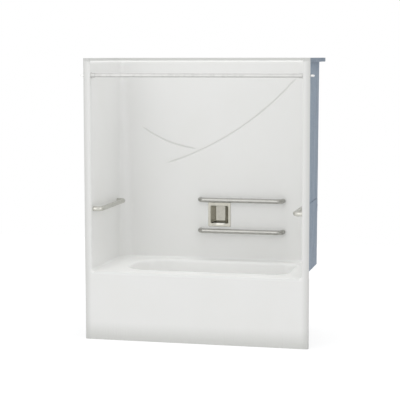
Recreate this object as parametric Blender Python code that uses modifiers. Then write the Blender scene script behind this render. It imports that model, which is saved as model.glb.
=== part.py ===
"""Tub and shower unit: a moulded bath with three walls, grab bars, a curtain rod,
a recessed soap dish and a trip-lever waste.

Metres, +Z up. The origin is on the floor at the middle of the unit. The open front faces -Y.
"""

import math

import bmesh
import bpy
from mathutils import Matrix, Vector

# Overall sizes
unit_width = 1.5176
unit_depth = 0.762
unit_height = 1.886
rim_height = 0.463

# The moulding: a white sheet with a resin backing behind it
sheet = 0.004
backing = 0.003
clearance = 0.0003
flange_width = 0.0478
flange_return = 0.018
flange_outer_radius = 0.008
flange_inner_radius = 0.015
ledge_drop = 0.020
ledge_edge_radius = 0.012
ledge_width = 0.040
lip_corner_radius = 0.075
cove_radius_top = 0.042
cove_radius_bottom = 0.100
backing_lift = 0.010
wall_backing_lift = 0.0227
backing_setback = 0.030
round_steps = 3
cove_steps = 6

# The tub: its front edge, its basin and the blocks that carry the wall flanges
front_edge_radius = 0.025
apron_return = 0.030
block_inset = 0.0003
block_drop = 0.004
basin_front_margin = 0.119
basin_back_margin = 0.050
basin_left_margin = 0.155
basin_right_margin = 0.105
basin_left_radius = 0.215
basin_right_radius = 0.130
basin_depth = 0.348
basin_edge_radius = 0.022
backrest_slope = 0.170
drain_end_slope = 0.035
basin_side_slope = 0.055
floor_left_radius = 0.110
floor_right_radius = 0.080
basin_corner_steps = 7
edge_steps = 3
# How far each level of the basin has come down, and how much of its slope it has used
drop_shares = (0.55, 0.80, 0.93, 0.985, 1.0)
slope_shares = (0.22, 0.42, 0.62, 0.80, 1.0)
drain_end_shares = (0.0, 0.0, 0.30, 0.65, 1.0)

# Two crossing arcs pressed into the back wall
groove_radius = 0.004
groove_sink = 0.0012
long_arc_offset = (-0.984, 1.213)
long_arc_radius = 2.049
long_arc_degrees = (-74.3, -41.8)
long_arc_steps = 16
short_arc_offset = (-0.070, 0.189)
short_arc_radius = 0.833
short_arc_degrees = (-124.6, -96.1)
short_arc_steps = 9

# Grab bars
bar_radius = 0.0158
bar_clear = 0.038
bar_bend_radius = 0.036
bar_bend_steps = 5
back_bar_length = 0.6246
back_bar_left = -0.1427
upper_bar_height = 0.8897
lower_bar_height = 0.6707
side_bar_length = 0.581
side_bar_front = 0.030
side_bar_height = 0.880
stud_radius = 0.0048
stud_clearance = 0.0006
stud_overlap = 0.006
stud_short = 0.0005
nut_flange_radius = 0.012
nut_flange_thickness = 0.0018
nut_barrel_radius = 0.0065
nut_barrel_length = 0.009

# Boards glassed in behind the bars
board = 0.012
side_plate = 0.003
back_board_margin = 0.070
board_height_margin = 0.060
side_plate_margin = 0.022
side_plate_half_height = 0.045

# Curtain rod
rod_radius = 0.0127
rod_drop = 0.1133
rod_setback = 0.031
rod_flange_radius = 0.021
rod_flange_nose = 0.0155
rod_flange_length = 0.027
rod_block_height = 0.110
rod_block_depth = 0.030
rod_stud_radius = 0.005
cap_nut_radius = 0.0095
cap_nut_length = 0.026
cap_nut_bore_depth = 0.012

# Soap dish
dish_left = -0.0726
dish_bottom = 0.6967
dish_width = 0.1625
dish_height = 0.170
dish_opening_width = 0.126
dish_opening_height = 0.124
dish_back_width = 0.066
dish_back_height = 0.108
dish_depth = 0.040
dish_sheet = 0.0015
dish_face = 0.004
dish_edge_radius = 0.0015
dish_corner_radius = 0.006
dish_corner_steps = 3
dish_hole_margin = 0.003
lip_width = 0.082
lip_height = 0.014
lip_bow = 0.013
lip_rise = 0.004
lip_steps = 10

# Floor support under the basin
base_board = 0.012
base_board_inset = 0.136
base_board_gap = 0.100
base_board_width = 0.300
runner_width = 0.038
runner_length = 0.340
runner_inset = 0.030
runner_count = 3
stiffener_inset = 0.121
stiffener_bottom = 0.060
stiffener_top_gap = 0.143

# Waste and overflow
drain_from_end = 0.130
drain_hole_radius = 0.024
drain_flange_radius = 0.036
drain_flange_height = 0.0025
drain_body_radius = 0.0205
drain_bore_radius = 0.0175
drain_body_length = 0.032
drain_bar_width = 0.0035
drain_bar_depth = 0.004
pipe_radius = 0.019
pipe_bore_radius = 0.0165
socket_radius = 0.0235
socket_grip = 0.016
collar_radius = 0.034
collar_thickness = 0.004
gasket_thickness = 0.003
waste_height = 0.052
shoe_reach = 0.045
shoe_bend_share = 0.667
port_radius = 0.011
tee_from_end = 0.036
tee_top = 0.108
outlet_height = 0.006
slip_nut_radius = 0.0275
slip_nut_length = 0.020
slip_nut_overhang = 0.006
slip_nut_slack = 0.0009
overflow_height = 0.336
overflow_hole_radius = 0.028
overflow_bore_radius = 0.0185
overflow_body_radius = 0.0225
head_rise = 0.0055
overflow_plate_radius = 0.040
overflow_plate_thickness = 0.003
slot_width = 0.009
slot_height = 0.034
screw_spacing = 0.0232
screw_head_radius = 0.0042
screw_head_height = 0.002
screw_radius = 0.0019
lever_width = 0.0065
lever_thickness = 0.004
lever_reach = 0.027
lever_arm = 0.028
lever_tip = 0.003
lever_knob_radius = 0.006
lever_degrees = 30.0
pivot_pin_radius = 0.0018
pivot_clearance = 0.0003
fork_gap = 0.0025
fork_depth = 0.008
fork_pin_radius = 0.0012
eye_clearance = 0.0005
eye_wall = 0.0018
eye_thickness = 0.0015
eye_half_height = 0.0048
eye_root = 0.001
link_radius = 0.0016
link_foot_radius = 0.0032
link_foot_height = 0.002
plunger_radius = 0.0155
plunger_bore_radius = 0.013
plunger_length = 0.030
plunger_bar_width = 0.008
plunger_bar_height = 0.003

# Facets and one overrun for every cut
round_sides = 24
small_sides = 12
bore_sides = 16
fine_sides = 8
turn_steps = 24
tube_resolution = 4
overrun = 0.010
merge_distance = 0.0001

# Derived places of the moulding
ledge_height = unit_height - ledge_drop
rod_height = unit_height - rod_drop
half_width = unit_width / 2
front = -unit_depth / 2
back = unit_depth / 2
laminate = sheet + clearance + backing
side_face = half_width - flange_width
wall_face = back - laminate - ledge_width
lip_face = half_width - laminate
lip_back = back - laminate
side_behind = side_face + sheet
wall_behind = wall_face + sheet
ledge_start = flange_return + sheet + clearance + sheet
wall_bottom = rim_height + clearance

# Derived places of the basin
basin_low_x = -side_face + basin_left_margin
basin_high_x = side_face - basin_right_margin
basin_low_y = front + basin_front_margin
basin_high_y = wall_face - basin_back_margin
basin_middle_y = (basin_low_y + basin_high_y) / 2
basin_floor = rim_height - basin_depth
basin_end_face = basin_high_x - basin_edge_radius

# Derived places of the bars
bar_offset = bar_clear + bar_radius
back_bar_y = wall_face - bar_offset
back_bar_span = back_bar_length - 2 * bar_radius
back_bar_first = back_bar_left + bar_radius
side_bar_x = side_face - bar_offset
side_bar_first = front + side_bar_front + bar_radius
side_bar_span = side_bar_length - 2 * bar_radius
board_front = laminate + clearance
board_back = board_front + board

# Derived places of the soap dish
dish_middle_x = dish_left + dish_width / 2
dish_middle_z = dish_bottom + dish_height / 2

# Derived places of the waste
drain_x = basin_end_face - drain_from_end
basin_under = basin_floor - laminate
gasket_under = basin_under - clearance - gasket_thickness
collar_top = gasket_under - clearance
base_board_left = basin_low_x + base_board_inset
base_board_right = drain_x - collar_radius - base_board_gap
tee_x = basin_end_face + laminate + tee_from_end
overflow_outer = basin_end_face + laminate + clearance
overflow_collar = overflow_outer + gasket_thickness + clearance
lever_angle = math.radians(lever_degrees)
pin_drift = lever_arm * (1 - math.cos(lever_angle)) / 2
pivot_x = tee_x - lever_arm + pin_drift
link_eye = overflow_height + lever_arm * math.sin(lever_angle)
link_travel = 2 * lever_arm * math.sin(lever_angle)
plunger_low = waste_height - plunger_length / 2 + link_travel
plunger_bar_low = plunger_low + plunger_length - plunger_bar_height

parts = bpy.data.collections.new("tub_and_shower_unit")
cutters = bpy.data.collections.new("cutters")


def clear_scene():
    """Remove what the file starts with and link the two collections."""
    for item in list(bpy.data.objects):
        bpy.data.objects.remove(item, do_unlink=True)
    bpy.context.scene.collection.children.link(parts)
    bpy.context.scene.collection.children.link(cutters)


def finish(name, colour, roughness, metallic):
    """A plain material of one colour."""
    material = bpy.data.materials.new(name)
    material.use_nodes = True
    shader = material.node_tree.nodes["Principled BSDF"]
    shader.inputs["Base Color"].default_value = (*colour, 1.0)
    shader.inputs["Roughness"].default_value = roughness
    shader.inputs["Metallic"].default_value = metallic
    material.diffuse_color = (*colour, 1.0)
    return material


def place(name, mesh, material=None):
    """Put a mesh into the scene: a part if it has a material, a cutter if not."""
    thing = bpy.data.objects.new(name, mesh)
    if material is None:
        cutters.objects.link(thing)
        thing.hide_render = True
        thing.display_type = "WIRE"
    else:
        parts.objects.link(thing)
        if not mesh.materials:
            mesh.materials.append(material)
    return thing


def shade(thing, degrees=35.0):
    """Smooth shading that keeps the real edges sharp."""
    thing.data.shade_smooth()
    thing.data.set_sharp_from_angle(angle=math.radians(degrees))
    return thing


def mesh_of(bm, name):
    """Turn a bmesh into a mesh with its faces pointing out."""
    bmesh.ops.recalc_face_normals(bm, faces=bm.faces)
    mesh = bpy.data.meshes.new(name)
    bm.to_mesh(mesh)
    bm.free()
    return mesh


def box(name, low, high, material=None):
    """A box between two corners."""
    bm = bmesh.new()
    bmesh.ops.create_cube(bm, size=1.0)
    size = Vector(high) - Vector(low)
    bmesh.ops.scale(bm, vec=size, verts=bm.verts)
    bmesh.ops.translate(bm, vec=(Vector(high) + Vector(low)) / 2, verts=bm.verts)
    return place(name, mesh_of(bm, name), material)


def aim(axis):
    """The rotation that turns +Z to the named axis."""
    return Vector(axis).to_track_quat("Z", "Y").to_matrix().to_4x4()


def rod(name, radius, start, end, sides, material=None):
    """A cylinder from one point to another."""
    start, end = Vector(start), Vector(end)
    bm = bmesh.new()
    bmesh.ops.create_cone(bm, cap_ends=True, segments=sides, radius1=radius, radius2=radius,
                          depth=(end - start).length)
    thing = place(name, mesh_of(bm, name), material)
    thing.matrix_world = Matrix.Translation((start + end) / 2) @ aim(end - start)
    return thing


def turned(name, profile, place_at, axis, steps, closed, material=None):
    """A turned shape: (radius, height) pairs swept round the local Z axis."""
    mesh = bpy.data.meshes.new(name)
    points = [(radius, 0.0, height) for radius, height in profile]
    edges = [(index, index + 1) for index in range(len(points) - 1)]
    if closed:
        edges.append((len(points) - 1, 0))
    mesh.from_pydata(points, edges, [])
    thing = place(name, mesh, material)
    screw = thing.modifiers.new("turn", "SCREW")
    screw.steps = steps
    screw.render_steps = steps
    screw.use_merge_vertices = True
    screw.merge_threshold = merge_distance
    thing.matrix_world = Matrix.Translation(place_at) @ aim(axis)
    return thing


def tube(name, points, radius, material=None, resolution=tube_resolution):
    """A round bar along a line of points, as a mesh that can be cut or joined."""
    curve = bpy.data.curves.new(name, "CURVE")
    curve.dimensions = "3D"
    curve.bevel_depth = radius
    curve.bevel_resolution = resolution
    curve.use_fill_caps = True
    line = curve.splines.new("POLY")
    line.points.add(len(points) - 1)
    for spot, point in zip(line.points, points):
        spot.co = (*point, 1.0)
    guide = bpy.data.objects.new(name + "_line", curve)
    cutters.objects.link(guide)
    bpy.context.view_layer.update()
    seen = guide.evaluated_get(bpy.context.evaluated_depsgraph_get())
    mesh = bpy.data.meshes.new_from_object(seen)
    mesh.name = name
    bpy.data.objects.remove(guide, do_unlink=True)
    bm = bmesh.new()
    bm.from_mesh(mesh)
    bmesh.ops.remove_doubles(bm, verts=bm.verts, dist=merge_distance / 10)
    bmesh.ops.recalc_face_normals(bm, faces=bm.faces)
    bm.to_mesh(mesh)
    bm.free()
    mesh.materials.clear()
    return place(name, mesh, material)


def combine(thing, tool, operation):
    """Cut or join one object with another."""
    step = thing.modifiers.new(tool.name, "BOOLEAN")
    step.operation = operation
    step.solver = "EXACT"
    step.object = tool
    return thing


def cut(thing, *tools):
    """Cut an object with each tool."""
    for tool in tools:
        combine(thing, tool, "DIFFERENCE")
    return thing


def join(thing, *tools):
    """Join each tool to an object."""
    for tool in tools:
        combine(thing, tool, "UNION")
    return thing


def settle(thing):
    """The mesh that an object's modifiers make, in scene coordinates, for pieces that share it."""
    bpy.context.view_layer.update()
    seen = thing.evaluated_get(bpy.context.evaluated_depsgraph_get())
    mesh = bpy.data.meshes.new_from_object(seen)
    mesh.transform(thing.matrix_world)
    return mesh


def thicken(thing, thickness):
    """Give an open face a thickness behind it."""
    solid = thing.modifiers.new("thickness", "SOLIDIFY")
    solid.thickness = thickness
    solid.offset = -1.0
    solid.use_even_offset = True
    solid.use_quality_normals = True
    return thing


def shift_back(bm, distance):
    """Move an open face back along its normals by one distance."""
    bm.normal_update()
    moves = [(vert, vert.normal * vert.calc_shell_factor() * distance) for vert in bm.verts]
    for vert, move in moves:
        vert.co -= move


def arc(centre, radius, first, last, steps):
    """Points on an arc in a plane, from one angle in degrees to another."""
    angles = [math.radians(first + (last - first) * step / steps) for step in range(steps + 1)]
    return [(centre[0] + radius * math.cos(a), centre[1] + radius * math.sin(a)) for a in angles]


def facing(bm, probe, direction):
    """Make the whole open face look in the direction that its probe face should."""
    bmesh.ops.recalc_face_normals(bm, faces=bm.faces)
    if probe.normal.dot(Vector(direction)) < 0.0:
        bmesh.ops.reverse_faces(bm, faces=bm.faces)


def flange_path():
    """The wall flange in plan, from its return round the front to the inner side."""
    outer = (half_width - flange_outer_radius, front + flange_outer_radius)
    inner = (side_face + flange_inner_radius, front + flange_inner_radius)
    path = [(half_width, front + flange_return)]
    path += arc(outer, flange_outer_radius, 0.0, -90.0, round_steps)
    path += arc(inner, flange_inner_radius, -90.0, -180.0, round_steps)
    return path


def corner_path(side, rear, start, radius):
    """A side wall, its corner and half of the back wall in plan."""
    corner = arc((side - radius, rear - radius), radius, 0.0, 90.0, cove_steps)
    return [(side, start), *corner, (0.0, rear)]


def wall_levels(start, bottom):
    """The wall, its rounded top, the ledge and the upturned lip, one plan outline a level."""
    upper = corner_path(side_face, wall_face, start, cove_radius_top)
    lip = corner_path(lip_face, lip_back, start, lip_corner_radius)

    def between(distance):
        part = distance / (lip_face - side_face)
        return [(a[0] + (b[0] - a[0]) * part, a[1] + (b[1] - a[1]) * part) for a, b in zip(upper, lip)]

    share = (bottom - wall_bottom) / (ledge_height - ledge_edge_radius - wall_bottom)
    lower_radius = cove_radius_bottom + (cove_radius_top - cove_radius_bottom) * share
    levels = [(corner_path(side_face, wall_face, start, lower_radius), bottom)]
    for step in range(round_steps + 1):
        turn = math.pi / 2 * step / round_steps
        out = ledge_edge_radius * (1 - math.cos(turn))
        rise = ledge_edge_radius * math.sin(turn)
        levels.append((between(out), ledge_height - ledge_edge_radius + rise))
    levels.append((lip, ledge_height))
    levels.append((lip, unit_height))
    return levels


def surround_face(with_flange, start, bottom):
    """The room side of the right half of the walls, as an open face."""
    levels = wall_levels(start, bottom)
    flange = flange_path() if with_flange else []
    last = len(levels) - 1
    first_top = levels[1][1]
    rows = []
    bm = bmesh.new()
    for index, (path, height) in enumerate(levels):
        column_height = height
        if index > 1:
            column_height = first_top + (unit_height - first_top) * (index - 1) / (last - 1)
        row = [bm.verts.new((x, y, column_height)) for x, y in flange]
        row += [bm.verts.new((x, y, height)) for x, y in path]
        rows.append(row)
    faces = []
    for low, high in zip(rows, rows[1:]):
        for index in range(len(low) - 1):
            faces.append(bm.faces.new((low[index], low[index + 1], high[index + 1], high[index])))
    probe = faces[len(rows[0]) - 2]
    facing(bm, probe, (0.0, -1.0, 0.0))
    return bm


def mirrored(name, bm, thickness, material):
    """A right half that is mirrored to the left and then given its thickness."""
    mesh = bpy.data.meshes.new(name)
    bm.to_mesh(mesh)
    bm.free()
    thing = place(name, mesh, material)
    mirror = thing.modifiers.new("left_half", "MIRROR")
    mirror.use_clip = True
    mirror.merge_threshold = merge_distance
    return thicken(thing, thickness)


def loop(low_x, high_x, low_y, high_y, left_radius, right_radius):
    """A rounded rectangle in plan, with its own corner radius at each end."""
    steps = basin_corner_steps
    points = arc((high_x - right_radius, low_y + right_radius), right_radius, -90.0, 0.0, steps)
    points += arc((high_x - right_radius, high_y - right_radius), right_radius, 0.0, 90.0, steps)
    points += arc((low_x + left_radius, high_y - left_radius), left_radius, 90.0, 180.0, steps)
    points += arc((low_x + left_radius, low_y + left_radius), left_radius, 180.0, 270.0, steps)
    return points


def basin_levels():
    """Outlines of the basin from the flat of the rim down to its floor."""
    levels = []
    for step in range(edge_steps + 1):
        turn = math.pi / 2 * step / edge_steps
        inset = basin_edge_radius * math.sin(turn)
        drop = basin_edge_radius * (1 - math.cos(turn))
        outline = loop(basin_low_x + inset, basin_high_x - inset, basin_low_y + inset,
                       basin_high_y - inset, basin_left_radius - inset, basin_right_radius - inset)
        levels.append((outline, rim_height - drop))
    edge = basin_edge_radius
    for drop_share, slope_share, end_share in zip(drop_shares, slope_shares, drain_end_shares):
        side = edge + basin_side_slope * slope_share
        left = basin_left_radius - edge + (floor_left_radius - basin_left_radius + edge) * slope_share
        right = basin_right_radius - edge + (floor_right_radius - basin_right_radius + edge) * slope_share
        outline = loop(basin_low_x + edge + backrest_slope * slope_share,
                       basin_high_x - edge - drain_end_slope * end_share,
                       basin_low_y + side, basin_high_y - side, left, right)
        levels.append((outline, rim_height - edge - (basin_depth - edge) * drop_share))
    return levels


def tub_face(half, deck_half, bottom, with_returns):
    """The room side of the apron, the deck and the basin, as one open face."""
    bm = bmesh.new()
    rise = arc((front + front_edge_radius, rim_height - front_edge_radius), front_edge_radius,
               180.0, 90.0, edge_steps + 1)
    profile = [(front, bottom), *rise]
    ends = []
    for x in (-half, half):
        ends.append([bm.verts.new((x, y, z)) for y, z in profile])
    for index in range(len(profile) - 1):
        bm.faces.new((ends[0][index], ends[1][index], ends[1][index + 1], ends[0][index + 1]))
    deck = [ends[0][-1], ends[1][-1]]
    if with_returns:
        for side, end in zip((-half, half), ends):
            top = bm.verts.new((side, front + apron_return, rim_height))
            foot = bm.verts.new((side, front + apron_return, bottom))
            bm.faces.new((*end, top, foot))
            inner = bm.verts.new((math.copysign(deck_half, side), front + apron_return, rim_height))
            if side < 0.0:
                deck = [inner, top, *deck]
            else:
                deck += [top, inner]
    rear_radius = cove_radius_bottom
    rear = wall_behind if with_returns else wall_face
    right = arc((deck_half - rear_radius, rear - rear_radius), rear_radius, 0.0, 90.0, cove_steps)
    corner = right + [(-x, y) for x, y in reversed(right)]
    deck += [bm.verts.new((x, y, rim_height)) for x, y in corner]
    rings = []
    for outline, height in basin_levels():
        rings.append([bm.verts.new((x, y, height)) for x, y in outline])
    edges = []
    for line in (deck, rings[0]):
        for first, second in zip(line, line[1:] + line[:1]):
            edges.append(bm.edges.get((first, second)) or bm.edges.new((first, second)))
    bmesh.ops.triangle_fill(bm, use_beauty=True, edges=edges, normal=(0.0, 0.0, 1.0))
    for upper, lower in zip(rings, rings[1:]):
        for index in range(len(upper)):
            after = (index + 1) % len(upper)
            bm.faces.new((upper[index], upper[after], lower[after], lower[index]))
    floor = bm.faces.new(rings[-1])
    bm.normal_update()
    facing(bm, floor, (0.0, 0.0, 1.0))
    return bm


def open_mesh(bm, name):
    """A mesh from an open face, with its direction kept."""
    mesh = bpy.data.meshes.new(name)
    bm.to_mesh(mesh)
    bm.free()
    return mesh


def make_shells(looks):
    """The white mouldings and the resin backings behind them."""
    tub = thicken(place("tub_shell", open_mesh(tub_face(half_width, side_behind, 0.0, True), "tub_shell"),
                        looks["white"]), sheet)
    for side, name in ((-1, "left_corner_fill"), (1, "right_corner_fill")):
        ends = sorted((side * side_face, side * (half_width - block_inset)))
        low = (ends[0], front + block_inset, rim_height - front_edge_radius - block_drop)
        high = (ends[1], front + front_edge_radius + block_drop / 2, rim_height - block_inset)
        join(tub, box(name, low, high))
    under = tub_face(side_face - backing_lift, side_face - backing_lift, backing_lift, False)
    shift_back(under, sheet + clearance)
    tub_back = thicken(place("tub_backing", open_mesh(under, "tub_backing"), looks["resin"]), backing)

    walls = mirrored("wall_surround", surround_face(True, front + ledge_start, wall_bottom), sheet,
                     looks["white"])
    behind = surround_face(False, front + backing_setback, wall_bottom + wall_backing_lift)
    shift_back(behind, sheet + clearance)
    walls_back = mirrored("surround_backing", behind, backing, looks["resin"])
    return tub, tub_back, walls, walls_back


def press_arcs(walls):
    """Two shallow crossing arcs in the back wall."""
    arcs = ((long_arc_offset, long_arc_radius, long_arc_degrees, long_arc_steps),
            (short_arc_offset, short_arc_radius, short_arc_degrees, short_arc_steps))
    for name, (offset, radius, degrees, steps) in zip(("long_arc", "short_arc"), arcs):
        centre = (offset[0], unit_height + offset[1])
        line = [(x, wall_face - groove_radius + groove_sink, z)
                for x, z in arc(centre, radius, *degrees, steps)]
        cut(walls, tube(name, line, groove_radius, resolution=1))


def bar_line(span):
    """A U-shaped bar in its own plane: along +X, with its feet at zero height."""
    high = bar_offset
    foot = clearance
    left = arc((bar_bend_radius, high - bar_bend_radius), bar_bend_radius, 180.0, 90.0, bar_bend_steps)
    right = arc((span - bar_bend_radius, high - bar_bend_radius), bar_bend_radius, 90.0, 0.0,
                bar_bend_steps)
    return [(0.0, foot), *left, *right, (span, foot)]


def make_nut_mesh():
    """A flanged barrel nut: the flange rises from zero height and the barrel hangs below it."""
    flange = rod("nut_flange", nut_flange_radius, (0.0, 0.0, 0.0), (0.0, 0.0, nut_flange_thickness), small_sides)
    barrel = rod("nut_barrel", nut_barrel_radius, (0.0, 0.0, -nut_barrel_length),
                 (0.0, 0.0, nut_flange_thickness / 2), small_sides)
    bore = rod("nut_bore", stud_radius + clearance, (0.0, 0.0, -nut_barrel_length - overrun),
               (0.0, 0.0, nut_flange_thickness + overrun), small_sides)
    join(flange, barrel)
    cut(flange, bore)
    mesh = settle(flange)
    for tool in (flange, barrel, bore):
        bpy.data.objects.remove(tool, do_unlink=True)
    return mesh


def make_bars(looks, walls, walls_back, backers):
    """Four grab bars with their studs and nuts, and the holes for them."""
    nut_mesh = make_nut_mesh()
    rear, left, right = backers
    plans = (
        ("upper_back_bar", (back_bar_first, wall_face, upper_bar_height), (1, 0, 0), (0, -1, 0),
         back_bar_span, rear, board),
        ("lower_back_bar", (back_bar_first, wall_face, lower_bar_height), (1, 0, 0), (0, -1, 0),
         back_bar_span, rear, board),
        ("left_bar", (-side_face, side_bar_first, side_bar_height), (0, 1, 0), (1, 0, 0),
         side_bar_span, left, side_plate),
        ("right_bar", (side_face, side_bar_first, side_bar_height), (0, 1, 0), (-1, 0, 0),
         side_bar_span, right, side_plate),
    )
    for name, foot, along, out, span, backer, thickness in plans:
        foot, along, out = Vector(foot), Vector(along), Vector(out)
        line = [foot + along * reach + out * height for reach, height in bar_line(span)]
        bar = tube(name, line, bar_radius, looks["steel"])
        nut_seat = board_front + thickness + clearance
        stud_tip = nut_seat + nut_flange_thickness - stud_short
        for end, distance in (("first", 0.0), ("last", span)):
            base = foot + along * distance
            stud = rod(f"{name}_{end}_stud", stud_radius, base + out * stud_overlap,
                       base - out * stud_tip, small_sides)
            join(bar, stud)
            hole = rod(f"{name}_{end}_hole", nut_barrel_radius + stud_clearance, base + out * overrun,
                       base - out * (stud_tip + overrun), small_sides)
            for pierced in (walls, walls_back, backer):
                cut(pierced, hole)
            nut = place(f"{name}_{end}_nut", nut_mesh, looks["zinc"])
            nut.matrix_world = Matrix.Translation(base - out * nut_seat) @ aim(-out)
        shade(bar)


def make_backers(looks):
    """The board and the two plates that the bars pull against."""
    low = lower_bar_height - board_height_margin
    high = upper_bar_height + board_height_margin
    backers = [box("back_wall_board", (back_bar_left - back_board_margin, wall_face + board_front, low),
                   (back_bar_left + back_bar_length + back_board_margin, wall_face + board_back, high),
                   looks["wood"])]
    for name, side in (("left", -1), ("right", 1)):
        ends = sorted((side * (side_face + board_front), side * (side_face + board_front + side_plate)))
        backers.append(box(f"{name}_wall_plate",
                           (ends[0], side_bar_first - side_plate_margin,
                            side_bar_height - side_plate_half_height),
                           (ends[1], side_bar_first + side_bar_span + side_plate_margin,
                            side_bar_height + side_plate_half_height), looks["zinc"]))
    return backers


def make_rod(looks, walls, walls_back):
    """The curtain rod, its flanges, the blocks behind the walls and the cap nuts."""
    y = front + rod_setback
    half = side_face - clearance
    block_face = side_face + board_front
    block_end = half_width - clearance
    nut_face = block_end + clearance
    stud_half = nut_face + cap_nut_bore_depth - clearance
    profile = [(0.0, stud_half), (rod_stud_radius, stud_half), (rod_stud_radius, half),
               (rod_radius, half), (rod_radius, -half), (rod_stud_radius, -half),
               (rod_stud_radius, -stud_half), (0.0, -stud_half)]
    shade(turned("curtain_rod", profile, (0.0, y, rod_height), (1, 0, 0), turn_steps, False, looks["steel"]))
    for name, side in (("left", -1), ("right", 1)):
        inner = rod_radius + clearance
        flange = [(inner, rod_flange_length), (rod_flange_nose, rod_flange_length),
                  (rod_flange_radius, clearance * 10), (rod_flange_radius, clearance), (inner, clearance)]
        shade(turned(f"{name}_rod_flange", flange, (side * side_face, y, rod_height), (-side, 0, 0),
                     turn_steps, True, looks["steel"]))
        ends = sorted((side * block_face, side * block_end))
        block = box(f"{name}_rod_block", (ends[0], y - rod_block_depth / 3, rod_height - rod_block_height / 2),
                    (ends[1], y + rod_block_depth, rod_height + rod_block_height / 2), looks["wood"])
        hole = rod(f"{name}_rod_hole", rod_stud_radius + stud_clearance,
                   (side * (side_face - overrun), y, rod_height), (side * (block_end + overrun), y, rod_height),
                   small_sides)
        for pierced in (walls, block):
            cut(pierced, hole)
        ends = sorted((side * (side_face - overrun), side * (block_face + overrun)))
        cut(walls_back, box(f"{name}_rod_relief", (ends[0], front, rod_height - rod_flange_radius),
                            (ends[1], y + rod_stud_radius + stud_clearance * 2, rod_height + rod_flange_radius)))
        radius = cap_nut_radius
        dome = [(0.0, cap_nut_length)]
        dome += [(radius * math.sin(math.radians(a)), cap_nut_length - radius * (1 - math.cos(math.radians(a))))
                 for a in (30.0, 60.0, 90.0)]
        bore = rod_stud_radius + clearance
        dome += [(radius, clearance), (bore, clearance), (bore, cap_nut_bore_depth), (0.0, cap_nut_bore_depth)]
        shade(turned(f"{name}_cap_nut", dome, (side * block_end, y, rod_height), (side, 0, 0), small_sides,
                     False, looks["steel"]))


def dish_loop(width, height, radius, y):
    """A rounded rectangle standing in the wall, round the middle of the dish."""
    points = []
    for sx, sz, first in ((1, -1, -90.0), (1, 1, 0.0), (-1, 1, 90.0), (-1, -1, 180.0)):
        centre = (dish_middle_x + sx * (width / 2 - radius), dish_middle_z + sz * (height / 2 - radius))
        points += arc(centre, radius, first, first + 90.0, dish_corner_steps)
    return [(x, y, z) for x, z in points]


def make_dish(looks, walls, walls_back, back_board):
    """The recessed soap dish, its curved lip and the hole that it sits in."""
    face = wall_face - clearance
    front_y = face - dish_face
    edge = dish_edge_radius
    rings = [
        dish_loop(dish_width, dish_height, dish_corner_radius, face),
        dish_loop(dish_width, dish_height, dish_corner_radius, front_y + edge),
        dish_loop(dish_width - 2 * edge, dish_height - 2 * edge, dish_corner_radius, front_y),
        dish_loop(dish_opening_width, dish_opening_height, dish_corner_radius, front_y),
        dish_loop(dish_opening_width - edge, dish_opening_height - edge, dish_corner_radius, front_y + edge),
        dish_loop(dish_back_width, dish_back_height, dish_corner_radius, wall_face + dish_depth),
    ]
    bm = bmesh.new()
    rows = [[bm.verts.new(point) for point in ring] for ring in rings]
    for outer, inner in zip(rows, rows[1:]):
        for index in range(len(outer)):
            after = (index + 1) % len(outer)
            bm.faces.new((outer[index], outer[after], inner[after], inner[index]))
    floor = bm.faces.new(rows[-1])
    bm.normal_update()
    facing(bm, floor, (0.0, -1.0, 0.0))
    dish = thicken(place("soap_dish", open_mesh(bm, "soap_dish"), looks["dish"]), dish_sheet)
    shade(dish)
    margin = dish_hole_margin
    hole = box("dish_hole",
               (dish_middle_x - dish_opening_width / 2 - margin, wall_face - overrun,
                dish_middle_z - dish_opening_height / 2 - margin),
               (dish_middle_x + dish_opening_width / 2 + margin, wall_face + board_back + overrun,
                dish_middle_z + dish_opening_height / 2 + margin))
    for pierced in (walls, walls_back, back_board):
        cut(pierced, hole)

    # The lip bows out from the face, across the foot of the opening
    half = lip_width / 2
    bow_radius = (half * half + lip_bow * lip_bow) / (2 * lip_bow)
    swing = math.degrees(math.asin(half / bow_radius))
    seat = front_y - clearance
    outer = arc((dish_middle_x, seat - lip_bow + bow_radius), bow_radius, -90.0 - swing, -90.0 + swing,
                lip_steps)
    inner = [(x + (dish_middle_x - x) * dish_sheet / half, min(seat, y + dish_sheet)) for x, y in outer]
    low = dish_middle_z - dish_opening_height / 2 - lip_height + lip_rise
    bm = bmesh.new()
    rows = []
    for height in (low, low + lip_height):
        rows.append([[bm.verts.new((x, y, height)) for x, y in line] for line in (outer, inner)])
    for index in range(lip_steps):
        after = index + 1
        (low_out, low_in), (high_out, high_in) = rows
        bm.faces.new((low_out[index], low_out[after], high_out[after], high_out[index]))
        bm.faces.new((low_in[after], low_in[index], high_in[index], high_in[after]))
        bm.faces.new((low_out[after], low_out[index], low_in[index], low_in[after]))
        bm.faces.new((high_out[index], high_out[after], high_in[after], high_in[index]))
    for index in (0, lip_steps):
        bm.faces.new((rows[0][0][index], rows[1][0][index], rows[1][1][index], rows[0][1][index]))
    shade(place("soap_dish_lip", mesh_of(bm, "soap_dish_lip"), looks["dish"]))


def make_base(looks):
    """The board under the basin, the runners that it stands on and the apron's stiffener."""
    top = basin_under - clearance
    low_y = basin_middle_y - base_board_width / 2
    high_y = basin_middle_y + base_board_width / 2
    box("base_board", (base_board_left, low_y, top - base_board),
        (base_board_right, high_y, top), looks["wood"])
    first = base_board_left + runner_inset
    step = (base_board_right - base_board_left - 2 * runner_inset - runner_width) / (runner_count - 1)
    runner_top = top - base_board - clearance
    for number in range(runner_count):
        x = first + step * number
        box(f"floor_runner_{number + 1}", (x, basin_middle_y - runner_length / 2, 0.0),
            (x + runner_width, basin_middle_y + runner_length / 2, runner_top), looks["wood"])
    apron_back = front + laminate + clearance
    reach = side_face - stiffener_inset
    box("apron_stiffener", (-reach, apron_back, stiffener_bottom),
        (reach, apron_back + board, rim_height - stiffener_top_gap), looks["wood"])


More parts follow.
